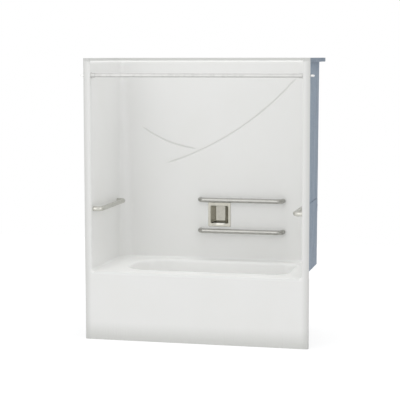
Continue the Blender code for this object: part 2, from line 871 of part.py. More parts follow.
def ring(outer, bore, low, high):
    """The profile of a plain ring."""
    return [(outer, high), (outer, low), (bore, low), (bore, high)]


def make_drain(looks, tub, tub_back):
    """The drain fitting in the basin floor and the elbow and pipe below it."""
    y = basin_middle_y
    hole = rod("drain_hole", drain_hole_radius, (drain_x, y, basin_under - overrun),
               (drain_x, y, basin_floor + overrun), round_sides)
    for pierced in (tub, tub_back):
        cut(pierced, hole)
    low = -drain_body_length
    rim = drain_flange_height
    profile = [(drain_flange_radius, clearance), (drain_body_radius, clearance), (drain_body_radius, low),
               (drain_bore_radius, low), (drain_bore_radius, rim - clearance), (drain_body_radius, rim),
               (drain_flange_radius - rim, rim)]
    drain = turned("drain_flange", profile, (drain_x, y, basin_floor), (0, 0, 1), bore_sides, True,
                   looks["chrome"])
    for number, reach in enumerate(((1, 0), (0, 1))):
        ends = [Vector((drain_x, y, basin_floor - drain_bar_depth)) + Vector((*reach, 0)) * side
                * (drain_bore_radius + drain_bar_width / 2) for side in (-1, 1)]
        wide = Vector((reach[1], reach[0], 0)) * drain_bar_width / 2
        deep = Vector((0, 0, drain_bar_depth / 2))
        join(drain, box(f"drain_cross_{number + 1}", ends[0] - wide - deep, ends[1] + wide + deep))
    shade(drain)
    shade(turned("drain_gasket", ring(collar_radius, drain_hole_radius + clearance, 0.0, gasket_thickness),
                 (drain_x, y, gasket_under), (0, 0, 1), round_sides, True, looks["rubber"]))

    # The shoe: a collar over a bend that leaves towards the drain end
    bend = shoe_reach * shoe_bend_share
    turn_points = [(drain_x + bend - bend * math.cos(a), y, waste_height + bend - bend * math.sin(a))
                   for a in (0.0, math.pi / 8, math.pi / 4, math.pi * 3 / 8, math.pi / 2)]
    line = [(drain_x, y, collar_top), *turn_points, (drain_x + shoe_reach + socket_grip, y, waste_height)]
    shoe = tube("shoe_elbow", line, socket_radius, looks["pipe"])
    join(shoe, rod("shoe_collar", collar_radius, (drain_x, y, collar_top - collar_thickness),
                   (drain_x, y, collar_top), round_sides))
    hollow = [(drain_x, y, collar_top + overrun), *turn_points,
              (drain_x + shoe_reach + socket_grip + overrun, y, waste_height)]
    cut(shoe, tube("shoe_bore", hollow, pipe_bore_radius))
    cut(shoe, rod("shoe_mouth", drain_body_radius + clearance, (drain_x, y, collar_top + overrun),
                  (drain_x, y, basin_floor - drain_body_length - clearance), round_sides))
    socket_x = drain_x + shoe_reach
    cut(shoe, rod("shoe_socket", pipe_radius + clearance, (socket_x, y, waste_height),
                  (socket_x + socket_grip + overrun, y, waste_height), bore_sides))
    shade(shoe)
    tee_side = tee_x - socket_radius - socket_grip
    shade(turned("waste_pipe", ring(pipe_radius, pipe_bore_radius, 0.0, tee_side + socket_grip - socket_x
                                    - 2 * clearance),
                 (socket_x + clearance, y, waste_height), (1, 0, 0), bore_sides, True, looks["brass"]))
    return tee_side


def slip_nut(name, socket_end, axis, looks):
    """A nut round the end of a socket, with a lip that closes on the pipe."""
    low = slip_nut_overhang - slip_nut_length
    wide = socket_radius + slip_nut_slack
    narrow = pipe_radius + slip_nut_slack
    profile = [(slip_nut_radius, slip_nut_overhang), (slip_nut_radius, low), (wide, low), (wide, clearance),
               (narrow, clearance), (narrow, slip_nut_overhang)]
    shade(turned(name, profile, socket_end, axis, bore_sides, True, looks["brass"]))


def make_overflow(looks, tub, tub_back, tee_side):
    """The tee, the overflow tube and its head, and the plate in the basin's end."""
    y = basin_middle_y
    tee = rod("waste_tee", socket_radius, (tee_x, y, outlet_height), (tee_x, y, tee_top), bore_sides,
              looks["pipe"])
    join(tee, rod("tee_branch", socket_radius - clearance, (tee_side, y, waste_height),
                  (tee_x, y, waste_height), bore_sides))
    cut(tee, rod("tee_bore", pipe_bore_radius, (tee_x, y, outlet_height - overrun),
                 (tee_x, y, tee_top + overrun), bore_sides))
    cut(tee, rod("tee_port", port_radius, (tee_side - overrun, y, waste_height),
                 (tee_x, y, waste_height), bore_sides))
    cut(tee, rod("tee_branch_socket", pipe_radius + clearance, (tee_side - overrun, y, waste_height),
                 (tee_side + socket_grip, y, waste_height), bore_sides))
    cut(tee, rod("tee_top_socket", pipe_radius + clearance, (tee_x, y, tee_top - socket_grip),
                 (tee_x, y, tee_top + overrun), bore_sides))
    shade(tee)

    # The head takes the tube from below and opens towards the basin
    head_bottom = overflow_height - overflow_body_radius - socket_grip
    head_top = overflow_height + overflow_body_radius + head_rise
    head = rod("overflow_head", overflow_body_radius, (tee_x, y, head_bottom), (tee_x, y, head_top),
               bore_sides, looks["pipe"])
    join(head, rod("head_neck", overflow_body_radius - clearance, (overflow_collar, y, overflow_height),
                   (tee_x, y, overflow_height), bore_sides))
    join(head, rod("head_collar", collar_radius, (overflow_collar, y, overflow_height),
                   (overflow_collar + collar_thickness, y, overflow_height), round_sides))
    roof = overflow_height + overflow_bore_radius + head_rise
    cut(head, rod("head_bore", overflow_bore_radius, (tee_x, y, head_bottom - overrun), (tee_x, y, roof),
                  bore_sides))
    cut(head, rod("head_neck_bore", overflow_bore_radius - clearance, (overflow_collar - overrun, y,
                                                                      overflow_height),
                  (tee_x, y, overflow_height), bore_sides))
    cut(head, rod("head_socket", pipe_radius + clearance, (tee_x, y, head_bottom - overrun),
                  (tee_x, y, head_bottom + socket_grip), bore_sides))
    shade(head)
    tube_low = tee_top - socket_grip + clearance
    tube_high = head_bottom + socket_grip - clearance
    shade(turned("overflow_tube", ring(pipe_radius, pipe_bore_radius, 0.0, tube_high - tube_low),
                 (tee_x, y, tube_low), (0, 0, 1), bore_sides, True, looks["brass"]))
    shade(turned("overflow_gasket", ring(collar_radius, overflow_hole_radius, 0.0, gasket_thickness),
                 (overflow_outer, y, overflow_height), (1, 0, 0), round_sides, True, looks["rubber"]))

    opening = rod("overflow_hole", overflow_hole_radius, (basin_end_face - overrun, y, overflow_height),
                  (overflow_outer + overrun, y, overflow_height), round_sides)
    for pierced in (tub, tub_back):
        cut(pierced, opening)
    for side in (-1, 1):
        height = overflow_height + side * screw_spacing
        cut(head, rod("head_screw_hole", screw_radius + clearance, (overflow_collar - overrun, y, height),
                      (overflow_collar + collar_thickness + clearance, y, height), fine_sides))
    slip_nut("shoe_nut", (drain_x + shoe_reach + socket_grip, y, waste_height), (1, 0, 0), looks)
    slip_nut("tee_side_nut", (tee_side, y, waste_height), (-1, 0, 0), looks)
    slip_nut("tee_top_nut", (tee_x, y, tee_top), (0, 0, 1), looks)
    slip_nut("head_nut", (tee_x, y, head_bottom), (0, 0, -1), looks)


def make_lever(looks):
    """The plate over the overflow, its screws, the lever, its link and the plunger."""
    y = basin_middle_y
    z = overflow_height
    seat = basin_end_face - clearance
    thick = overflow_plate_thickness
    profile = [(0.0, thick), (overflow_plate_radius - thick, thick), (overflow_plate_radius, 0.0), (0.0, 0.0)]
    plate = turned("overflow_plate", profile, (seat, y, z), (-1, 0, 0), turn_steps, False, looks["chrome"])
    cut(plate, box("lever_slot", (seat - thick - overrun, y - slot_width / 2, z - slot_height / 2),
                   (seat + overrun, y + slot_width / 2, z + slot_height / 2)))
    # Two lugs behind the plate carry the pivot pin
    lug = (slot_width - lever_width) / 2
    for name, side in (("left", -1), ("right", 1)):
        edges = sorted((y + side * (slot_width / 2 + lug), y + side * (slot_width / 2 + lug * 2)))
        join(plate, box(f"{name}_lug", (seat - thick / 2, edges[0], z - lever_width),
                        (pivot_x + lever_width, edges[1], z + lever_width)))
    pin_half = slot_width / 2 + lug * 3 / 2
    join(plate, rod("pivot_pin", pivot_pin_radius, (pivot_x, y - pin_half, z), (pivot_x, y + pin_half, z),
                    fine_sides))
    for name, side in (("upper", 1), ("lower", -1)):
        height = z + side * screw_spacing
        hole = rod(f"{name}_screw_hole", screw_radius + clearance, (seat - thick - overrun, y, height),
                   (seat + overrun, y, height), fine_sides)
        cut(plate, hole)
        tail = overflow_collar + collar_thickness
        head_face = seat - thick - clearance
        screw = [(0.0, screw_head_height), (screw_head_radius - clearance, screw_head_height),
                 (screw_head_radius, screw_head_height / 2), (screw_head_radius, 0.0), (screw_radius, 0.0),
                 (screw_radius, head_face - tail), (0.0, head_face - tail)]
        shade(turned(f"{name}_plate_screw", screw, (head_face, y, height), (-1, 0, 0), small_sides, False,
                     looks["chrome"]))
    shade(plate)
    tilt = Matrix.Translation((pivot_x, y, z)) @ Matrix.Rotation(-lever_angle, 4, "Y")
    half_thick, half_wide = lever_thickness / 2, lever_width / 2
    outer_end = seat - thick - lever_reach - pivot_x
    lever = box("trip_lever", (outer_end, -half_wide, -half_thick),
                (lever_arm + lever_tip, half_wide, half_thick), looks["chrome"])
    inside = half_wide - clearance
    knob = rod("lever_knob", lever_knob_radius, (outer_end, -inside, 0.0), (outer_end, inside, 0.0), small_sides)
    hub = rod("lever_hub", lever_width * 2 / 3, (0.0, -inside, 0.0), (0.0, inside, 0.0), small_sides)
    bore = rod("lever_bore", pivot_pin_radius + pivot_clearance, (0.0, -slot_width, 0.0),
               (0.0, slot_width, 0.0), fine_sides)
    fork = box("lever_fork", (lever_arm - fork_depth, -fork_gap / 2, -lever_thickness),
               (lever_arm + fork_depth, fork_gap / 2, lever_thickness))
    pin = rod("fork_pin", fork_pin_radius, (lever_arm, -inside, 0.0), (lever_arm, inside, 0.0), fine_sides)
    for tool in (knob, hub, bore, fork, pin):
        tool.matrix_world = tilt @ tool.matrix_world
    lever.matrix_world = tilt
    join(lever, knob, hub)
    cut(lever, bore, fork)
    join(lever, pin)
    shade(lever)


def make_plunger(looks):
    """The rod that hangs from the lever and the hollow plunger at its foot."""
    y = basin_middle_y
    slot_reach = fork_pin_radius + eye_clearance
    eye_half = pin_drift + slot_reach + eye_wall
    link_low = plunger_bar_low - clearance - link_foot_height
    collar_low = plunger_bar_low + plunger_bar_height + clearance
    link_top = link_eye - eye_half_height + eye_root
    profile = [(0.0, link_top), (link_radius, link_top), (link_radius, collar_low + link_foot_height),
               (link_foot_radius, collar_low + link_foot_height),
               (link_foot_radius, collar_low), (link_radius, collar_low),
               (link_radius, plunger_bar_low - clearance), (link_foot_radius, plunger_bar_low - clearance),
               (link_foot_radius, link_low), (0.0, link_low)]
    link = turned("linkage_rod", profile, (tee_x, y, 0.0), (0, 0, 1), small_sides, False, looks["brass"])
    plate = box("link_eye", (tee_x - eye_half, y - eye_thickness / 2, link_eye - eye_half_height),
                (tee_x + eye_half, y + eye_thickness / 2, link_eye + eye_half_height))
    cut(plate, box("eye_slot", (tee_x - pin_drift, y - eye_wall, link_eye - slot_reach),
                   (tee_x + pin_drift, y + eye_wall, link_eye + slot_reach)))
    for side in (-1, 1):
        x = tee_x + side * pin_drift
        cut(plate, rod("eye_end", slot_reach, (x, y - eye_wall, link_eye), (x, y + eye_wall, link_eye),
                       small_sides))
    shade(join(link, plate))

    plunger = turned("plunger", ring(plunger_radius, plunger_bore_radius, 0.0, plunger_length),
                     (tee_x, y, plunger_low), (0, 0, 1), bore_sides, True, looks["brass"])
    half = (plunger_radius + plunger_bore_radius) / 2
    join(plunger, box("plunger_bar", (tee_x - half, y - plunger_bar_width / 2, plunger_bar_low),
                      (tee_x + half, y + plunger_bar_width / 2, plunger_bar_low + plunger_bar_height)))
    cut(plunger, rod("plunger_hole", link_radius + clearance, (tee_x, y, plunger_bar_low - overrun),
                     (tee_x, y, plunger_low + plunger_length + overrun), small_sides))
    shade(plunger)


clear_scene()
looks = {
    "white": finish("white_gelcoat", (0.80, 0.80, 0.79), 0.18, 0.0),
    "resin": finish("blue_grey_resin", (0.20, 0.25, 0.30), 0.75, 0.0),
    "wood": finish("plywood", (0.52, 0.38, 0.22), 0.80, 0.0),
    "steel": finish("brushed_steel", (0.62, 0.61, 0.57), 0.32, 1.0),
    "zinc": finish("zinc_plate", (0.55, 0.56, 0.57), 0.45, 1.0),
    "dish": finish("satin_steel", (0.50, 0.48, 0.40), 0.38, 1.0),
    "chrome": finish("chrome", (0.75, 0.75, 0.76), 0.10, 1.0),
    "brass": finish("brass", (0.60, 0.45, 0.20), 0.35, 1.0),
    "pipe": finish("black_plastic", (0.03, 0.03, 0.03), 0.55, 0.0),
    "rubber": finish("black_rubber", (0.02, 0.02, 0.02), 0.85, 0.0),
}
tub, tub_back, walls, walls_back = make_shells(looks)
press_arcs(walls)
backers = make_backers(looks)
make_bars(looks, walls, walls_back, backers)
make_rod(looks, walls, walls_back)
make_dish(looks, walls, walls_back, backers[0])
make_base(looks)
tee_side = make_drain(looks, tub, tub_back)
make_overflow(looks, tub, tub_back, tee_side)
make_lever(looks)
make_plunger(looks)
for shell in (tub, tub_back, walls, walls_back):
    shade(shell)
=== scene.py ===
"""Looks of a tub and shower unit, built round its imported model.

Metres, +Z up. The open front faces -Y and the origin is on the floor at the middle.
"""

import logging
import math
from collections.abc import Iterable, Mapping, Sequence
from dataclasses import dataclass, field
from enum import Enum

import bmesh
import bpy
from mathutils import Matrix, Vector, noise


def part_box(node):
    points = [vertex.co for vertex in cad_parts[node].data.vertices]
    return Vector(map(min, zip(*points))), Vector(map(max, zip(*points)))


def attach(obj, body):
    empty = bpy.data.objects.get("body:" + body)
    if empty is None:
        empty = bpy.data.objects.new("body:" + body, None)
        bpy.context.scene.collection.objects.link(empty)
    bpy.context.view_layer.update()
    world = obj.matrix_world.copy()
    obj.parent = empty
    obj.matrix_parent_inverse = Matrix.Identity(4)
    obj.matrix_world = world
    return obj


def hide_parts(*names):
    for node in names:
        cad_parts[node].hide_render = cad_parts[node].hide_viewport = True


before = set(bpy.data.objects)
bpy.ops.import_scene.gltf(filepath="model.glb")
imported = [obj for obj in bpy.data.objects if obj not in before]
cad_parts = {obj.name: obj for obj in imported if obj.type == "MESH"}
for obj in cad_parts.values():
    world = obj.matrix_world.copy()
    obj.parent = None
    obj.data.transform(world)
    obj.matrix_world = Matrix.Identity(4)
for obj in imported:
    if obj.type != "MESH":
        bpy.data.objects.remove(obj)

Point = tuple[float, float, float]
Spot = tuple[float, float]
Colour = tuple[float, float, float]
Form = bmesh.types.BMesh
Row = list[bmesh.types.BMVert]
Thing = bpy.types.Object
log = logging.getLogger("tub_and_shower")

# Directions, and a distance that counts as none
RIGHT: Point = (1.0, 0.0, 0.0)
LEFT: Point = (-1.0, 0.0, 0.0)
BACK: Point = (0.0, 1.0, 0.0)
FRONT: Point = (0.0, -1.0, 0.0)
UP: Point = (0.0, 0.0, 1.0)
TINY = 1e-6
# The colour sockets of a Mix node, which has others of the same names
MIX_SHARE, MIX_FIRST, MIX_SECOND, MIX_RESULT = 0, 6, 7, 2


class Axis(Enum):
    """The direction that a brushed or sawn surface runs in."""

    X = (1.0, 0.0, 0.0)
    Y = (0.0, 1.0, 0.0)
    Z = (0.0, 0.0, 1.0)

    def stretch(self, along: float, across: float) -> Point:
        """Scales of a texture that is long in this direction.

        Args:
            along: scale in this direction.
            across: scale in the other two.

        Returns:
            One scale for each of X, Y and Z.
        """
        return tuple(along if part else across for part in self.value)


class Side(Enum):
    """The two ends of the unit."""

    LEFT = -1.0
    RIGHT = 1.0


# ---------------------------------------------------------------- shader maths


class Wire:
    """A shader socket that takes part in Python sums."""

    def __init__(self, graph: "Graph", socket: bpy.types.NodeSocket | None) -> None:
        """Keep one output socket, if the node has any, and the graph that it belongs to."""
        self.graph = graph
        self.socket = socket

    def __add__(self, other: "Wire | float") -> "Wire":
        """This plus a value."""
        return self.graph.maths("ADD", self, other)

    def __radd__(self, other: "Wire | float") -> "Wire":
        """A value plus this."""
        return self.graph.maths("ADD", other, self)

    def __sub__(self, other: "Wire | float") -> "Wire":
        """This less a value."""
        return self.graph.maths("SUBTRACT", self, other)

    def __rsub__(self, other: "Wire | float") -> "Wire":
        """A value less this."""
        return self.graph.maths("SUBTRACT", other, self)

    def __mul__(self, other: "Wire | float") -> "Wire":
        """This times a value."""
        return self.graph.maths("MULTIPLY", self, other)

    def __rmul__(self, other: "Wire | float") -> "Wire":
        """A value times this."""
        return self.graph.maths("MULTIPLY", other, self)

    def __abs__(self) -> "Wire":
        """This without its sign."""
        return self.graph.maths("ABSOLUTE", self)

    def fraction(self) -> "Wire":
        """What this has over a whole number."""
        return self.graph.maths("FRACT", self)

    def most(self, other: "Wire | float") -> "Wire":
        """The larger of this and a value."""
        return self.graph.maths("MAXIMUM", self, other)

    def rises(self, low: float, high: float) -> "Wire":
        """A smooth step up.

        Args:
            low: where it is still 0.
            high: where it has reached 1.

        Returns:
            The step's value.
        """
        return self.graph.node("ShaderNodeMapRange", {"interpolation_type": "SMOOTHSTEP"},
                               {"Value": self, "From Min": low, "From Max": high})

    def falls(self, low: float, high: float) -> "Wire":
        """A smooth step down, from 1 at low to 0 at high."""
        return 1.0 - self.rises(low, high)


class Graph:
    """The nodes of one material or world, laid out from Python expressions."""

    def __init__(self, name: str, library: bpy.types.bpy_prop_collection | None = None) -> None:
        """Start empty nodes.

        Args:
            name: what the material or world is called.
            library: where it is kept, the materials if it isn't given.
        """
        self.owner = (bpy.data.materials if library is None else library).new(name)
        self.owner.use_nodes = True
        self.tree = self.owner.node_tree
        self.tree.nodes.clear()

    def node(self, kind: str, settings: Mapping[str, object] | None = None,
             inputs: Mapping[str | int, object] | None = None, output: int | str = 0) -> Wire:
        """Add any node.

        Args:
            kind: the node's type.
            settings: its settings, set first. "stops" are the stops of a colour ramp.
            inputs: values or wires for its sockets, by name or number.
            output: the name or number of the socket to give back.

        Returns:
            The chosen output.
        """
        made = self.tree.nodes.new(kind)
        for key, value in (settings or {}).items():
            if key == "stops":
                self.set_stops(made.color_ramp, value)
            else:
                setattr(made, key, value)
        for key, value in (inputs or {}).items():
            socket = made.inputs[key]
            if isinstance(value, Wire):
                self.tree.links.new(value.socket, socket)
            elif isinstance(value, tuple) and len(value) < len(socket.default_value):
                socket.default_value = (*value, 1.0)
            else:
                socket.default_value = value
        return Wire(self, made.outputs[output] if made.outputs else None)

    @staticmethod
    def set_stops(ramp: bpy.types.ColorRamp, stops: Sequence[tuple[float, Colour]]) -> None:
        """Give a colour ramp its stops.

        Args:
            ramp: the ramp.
            stops: pairs of place and colour.
        """
        while len(ramp.elements) < len(stops):
            ramp.elements.new(1.0)
        for element, (place, colour) in zip(ramp.elements, stops):
            element.position = place
            element.color = (*colour, 1.0)

    def maths(self, operation: str, *values: Wire | float) -> Wire:
        """One Math node on its values in order."""
        return self.node("ShaderNodeMath", {"operation": operation}, dict(enumerate(values)))

    def place(self, stretch: Point = (1.0, 1.0, 1.0), turned: Point = (0.0, 0.0, 0.0)) -> Wire:
        """The point being shaded.

        Args:
            stretch: scales along the three axes.
            turned: rotation in radians, before the scales.

        Returns:
            The point as a vector, in metres times the scales.
        """
        spot = self.node("ShaderNodeTexCoord", output="Object")
        if any(turned):
            spot = self.node("ShaderNodeVectorRotate", {"rotation_type": "EULER_XYZ"},
                             {"Vector": spot, "Rotation": turned})
        return self.node("ShaderNodeVectorMath", {"operation": "MULTIPLY"}, {0: spot, 1: stretch})

    def parts(self, vector: Wire) -> list[Wire]:
        """The three coordinates of a vector."""
        outputs = self.node("ShaderNodeSeparateXYZ", None, {0: vector}).socket.node.outputs
        return [Wire(self, output) for output in outputs]

    def mottle(self, spot: Wire, scale: float = 1.0, detail: float = 2.0,
               rough: float = 0.5) -> Wire:
        """Cloudy noise.

        Args:
            spot: the point, from place().
            scale: cycles a unit.
            detail: how many finer octaves.
            rough: how strong they are.

        Returns:
            A value about 0.5.
        """
        return self.node("ShaderNodeTexNoise", None,
                         {"Vector": spot, "Scale": scale, "Detail": detail, "Roughness": rough})

    def cells(self, spot: Wire, scale: float) -> Wire:
        """How far the nearest middle of a pattern of cells is.

        Args:
            spot: the point, from place().
            scale: cells a unit.

        Returns:
            The distance.
        """
        return self.node("ShaderNodeTexVoronoi", {"feature": "F1"},
                         {"Vector": spot, "Scale": scale})

    def mix(self, first: Wire | Colour, second: Wire | Colour, share: Wire | float) -> Wire:
        """Two colours mixed.

        Args:
            first: the colour at share 0.
            second: the colour at share 1.
            share: how much of the second.

        Returns:
            The mixed colour.
        """
        return self.node("ShaderNodeMix", {"data_type": "RGBA"},
                         {MIX_SHARE: share, MIX_FIRST: first, MIX_SECOND: second}, MIX_RESULT)

    def bump(self, height: Wire, depth: float, strength: float = 1.0,
             under: Wire | None = None) -> Wire:
        """A surface made uneven.

        Args:
            height: the relief, about 0 to 1.
            depth: metres between 0 and 1.
            strength: how much of it shows.
            under: another relief below this one.

        Returns:
            The normal.
        """
        inputs = {"Strength": strength, "Distance": depth, "Height": height}
        if under:
            inputs["Normal"] = under
        return self.node("ShaderNodeBump", None, inputs)

    def done(self, surface: Wire) -> bpy.types.ID:
        """Finish the material or world.

        Args:
            surface: the shader that its output shows.

        Returns:
            The material or world.
        """
        kind = "World" if isinstance(self.owner, bpy.types.World) else "Material"
        self.node(f"ShaderNodeOutput{kind}", None, {"Surface": surface})
        return self.owner

    def principled(self, **inputs: object) -> bpy.types.ID:
        """Finish the material with one Principled shader.

        Args:
            inputs: its sockets, with underscores for spaces.

        Returns:
            The material.
        """
        named = {key.replace("_", " "): value for key, value in inputs.items()}
        return self.done(self.node("ShaderNodeBsdfPrincipled", None, named))


# ---------------------------------------------------------------- finishes


@dataclass(frozen=True)
class Finish:
    """A surface finish. Each kind fills in build()."""

    name: str

    def build(self) -> bpy.types.ID:
        """Make the material."""
        raise NotImplementedError


@dataclass(frozen=True)
class GelCoat(Finish):
    """The glossy white skin of the moulding, with the faint ripple of the mould.

    Here and below, a band is where a tone starts to change and where it has changed.
    """

    colour: Colour = (0.855, 0.857, 0.845)
    warm: Colour = (0.828, 0.830, 0.806)
    cloud_band: Spot = (0.42, 0.72)
    cloud_share: float = 0.35
    speck_share: float = 0.05
    ripple_stretch: Point = (1.0, 1.0, 0.6)
    # Painted shade: the apron is painted greyer towards its foot, and the same grey is painted into
    # the arcs' crease
    foot: Colour = (0.640, 0.645, 0.620)
    foot_shade_band: Spot = (0.0, 0.135)
    apron_shade_band: Spot = (-0.37, -0.34)
    foot_shade_share: float = 0.8
    # Painted light: the basin is painted whiter than the rest of the coat. Its floor has fine pips
    # against slipping
    basin: Colour = (0.905, 0.907, 0.895)
    basin_light_band: Spot = (0.440, 0.462)
    basin_light_front_band: Spot = (-0.31, -0.28)
    floor_band: Spot = (0.117, 0.121)
    pips_a_metre: float = 95.0
    pip_stretch: Point = (1.0, 1.0, 0.01)
    pip_band: Spot = (0.22, 0.42)
    # Painted shade: the flanges, greyer towards their outer edges, and the top edge are painted
    # greyer
    painted_edge_shade: Colour = (0.600, 0.605, 0.588)
    flange_shade_band: Spot = (0.706, 0.764)
    flange_shade_share: float = 0.72
    top_shade_band: Spot = (1.853, 1.873)
    top_shade_share: float = 0.9
    # Painted shade: the deck's front roll is painted greyer, to dim the light on its curve
    roll_shade_low_band: Spot = (0.446, 0.454)
    roll_shade_high_band: Spot = (0.462, 0.466)
    roll_shade_front_band: Spot = (-0.373, -0.358)
    roll_shade_side_band: Spot = (0.690, 0.704)
    roll_shade_share: float = 0.36
    # Painted shade: the crease of the pressed arcs is painted with the foot's grey
    crease_shade_band: Spot = (0.3340, 0.3366)
    crease_shade_top_band: Spot = (1.80, 1.82)
    crease_shade_share: float = 0.5
    roughness: float = 0.31
    wiped_stretch: Point = (1.0, 1.0, 0.3)
    wiped_roughness: float = 0.10
    floor_roughness: float = 0.15
    coat: float = 0.12
    coat_roughness: float = 0.20

    def tone(self, graph: Graph, spot: Wire) -> Wire:
        """The colour of the coat, with painted shade and painted light.

        Args:
            graph: the material's nodes.
            spot: the point being shaded.

        Returns:
            The colour.
        """
        across, deep, high = graph.parts(spot)
        side = abs(across)
        cloud = graph.mottle(spot, scale=3.0, detail=3.0).rises(*self.cloud_band)
        speck = graph.mottle(spot, scale=900.0, detail=1.0)
        colour = graph.mix(self.colour, self.warm,
                           cloud * self.cloud_share + speck * self.speck_share)
        # Painted shade, darker towards the apron's foot
        foot = high.falls(*self.foot_shade_band) * deep.falls(*self.apron_shade_band)
        colour = graph.mix(colour, self.foot, foot * self.foot_shade_share)
        # Painted light: the basin is painted whiter
        inside = high.falls(*self.basin_light_band) * deep.rises(*self.basin_light_front_band)
        colour = graph.mix(colour, self.basin, inside)
        # Painted shade on the deck's front roll
        roll = high.rises(*self.roll_shade_low_band) * high.falls(*self.roll_shade_high_band)
        roll = roll * deep.falls(*self.roll_shade_front_band) * side.falls(*self.roll_shade_side_band)
        # Painted shade on the flanges and the top edge, together with the roll's
        edge = (side.rises(*self.flange_shade_band) * self.flange_shade_share).most(roll * self.roll_shade_share)
        edge = edge.most(high.rises(*self.top_shade_band) * self.top_shade_share)
        colour = graph.mix(colour, self.painted_edge_shade, edge)
        # Painted shade in the crease of the pressed arcs
        crease = deep.rises(*self.crease_shade_band) * high.falls(*self.crease_shade_top_band)
        return graph.mix(colour, self.foot, crease * self.crease_shade_share)

    def build(self) -> bpy.types.ID:
        """Lay out the nodes.

        Returns:
            The material.
        """
        graph = Graph(self.name)
        spot = graph.place()
        ripple = graph.mottle(graph.place(self.ripple_stretch), scale=14.0, detail=1.0)
        peel = graph.mottle(spot, scale=240.0)
        wiped = graph.mottle(graph.place(self.wiped_stretch), scale=22.0, detail=3.0)
        low = graph.parts(spot)[2].falls(*self.floor_band)
        pips = graph.cells(graph.place(self.pip_stretch), self.pips_a_metre)
        pips = pips.falls(*self.pip_band) * low
        even = graph.bump(ripple, depth=0.0010, strength=0.5)
        fine = graph.bump(peel, depth=0.00006, strength=0.5, under=even)
        rough = wiped * self.wiped_roughness + self.roughness + low * self.floor_roughness
        return graph.principled(
            Base_Color=self.tone(graph, spot), Roughness=rough,
            Normal=graph.bump(pips, depth=0.0005, strength=0.8, under=fine),
            Coat_Weight=self.coat, Coat_Roughness=self.coat_roughness)


@dataclass(frozen=True)
class FibreLay(Finish):
    """Blue-grey resin sprayed with chopped glass strand, rolled out and run down in streaks."""

    colour: Colour = (0.215, 0.272, 0.345)
    pale: Colour = (0.355, 0.420, 0.505)
    dark: Colour = (0.120, 0.152, 0.200)
    # Painted shade: the fibre is painted darker at the top, round the ledge and the lip
    rim_shade_band: Spot = (1.860, 1.864)
    rim_shade_share: float = 0.40
    run_stretch: Point = (70.0, 70.0, 3.5)
    run_band: Spot = (0.45, 0.78)
    run_share: float = 0.75
    wide_stretch: Point = (14.0, 14.0, 2.2)
    wide_band: Spot = (0.52, 0.80)
    wide_share: float = 0.55
    patch_band: Spot = (0.30, 0.46)
    patch_share: float = 0.35
    strand_stretch: Point = (420.0, 34.0, 420.0)
    strand_turns: tuple[Point, ...] = ((0.5, 0.0, 0.4), (1.6, 0.9, 1.7), (2.7, 1.8, 3.0))
    strand_band: Spot = (0.60, 0.70)
    strand_share: float = 0.40
    strand_relief: float = 0.6
    roughness: float = 0.50
    patch_roughness: float = 0.30
    strand_gloss: float = 0.12

    def build(self) -> bpy.types.ID:
        """Lay out the nodes.

        Returns:
            The material.
        """
        graph = Graph(self.name)
        spot = graph.place()
        runs = graph.mottle(graph.place(self.run_stretch), detail=4.0, rough=0.6)
        wide = graph.mottle(graph.place(self.wide_stretch))
        patch = graph.mottle(spot, scale=9.0, detail=4.0, rough=0.6)
        first, *others = (graph.mottle(graph.place(self.strand_stretch, turned), detail=1.0)
                          .rises(*self.strand_band) for turned in self.strand_turns)
        strands = first
        for other in others:
            strands = strands.most(other)
        # Painted shade at the top of the fibre
        rim = graph.parts(spot)[2].rises(*self.rim_shade_band)
        shades = ((self.pale, runs.rises(*self.run_band) * self.run_share),
                  (self.dark, wide.rises(*self.wide_band) * self.wide_share),
                  (self.dark, patch.falls(*self.patch_band) * self.patch_share),
                  (self.pale, strands * self.strand_share),
                  (self.dark, rim * self.rim_shade_share))
        colour = self.colour
        for shade, share in shades:
            colour = graph.mix(colour, shade, share)
        lumps = graph.bump(graph.mottle(spot, scale=55.0, detail=3.0), depth=0.0022, strength=0.7)
        relief = strands * self.strand_relief + runs * (1.0 - self.strand_relief)
        rough = self.roughness + patch * self.patch_roughness - strands * self.strand_gloss
        return graph.principled(
            Base_Color=colour, Roughness=rough,
            Normal=graph.bump(relief, depth=0.0007, strength=0.9, under=lumps))


@dataclass(frozen=True)
class PaintedRecessShade:
    """Painted shade in a recess, darkest along its foot.

    It starts at a depth and is full a fade further back. Its dark foot ends a rise above its foot.
    The tone is how much of the colour is left, and the shares say how much of that tone shows.
    """

    depth: float
    foot: float
    rise: float
    fade: float = 0.006
    tone: float = 0.30
    share: float = 0.22
    foot_shade_share: float = 0.75


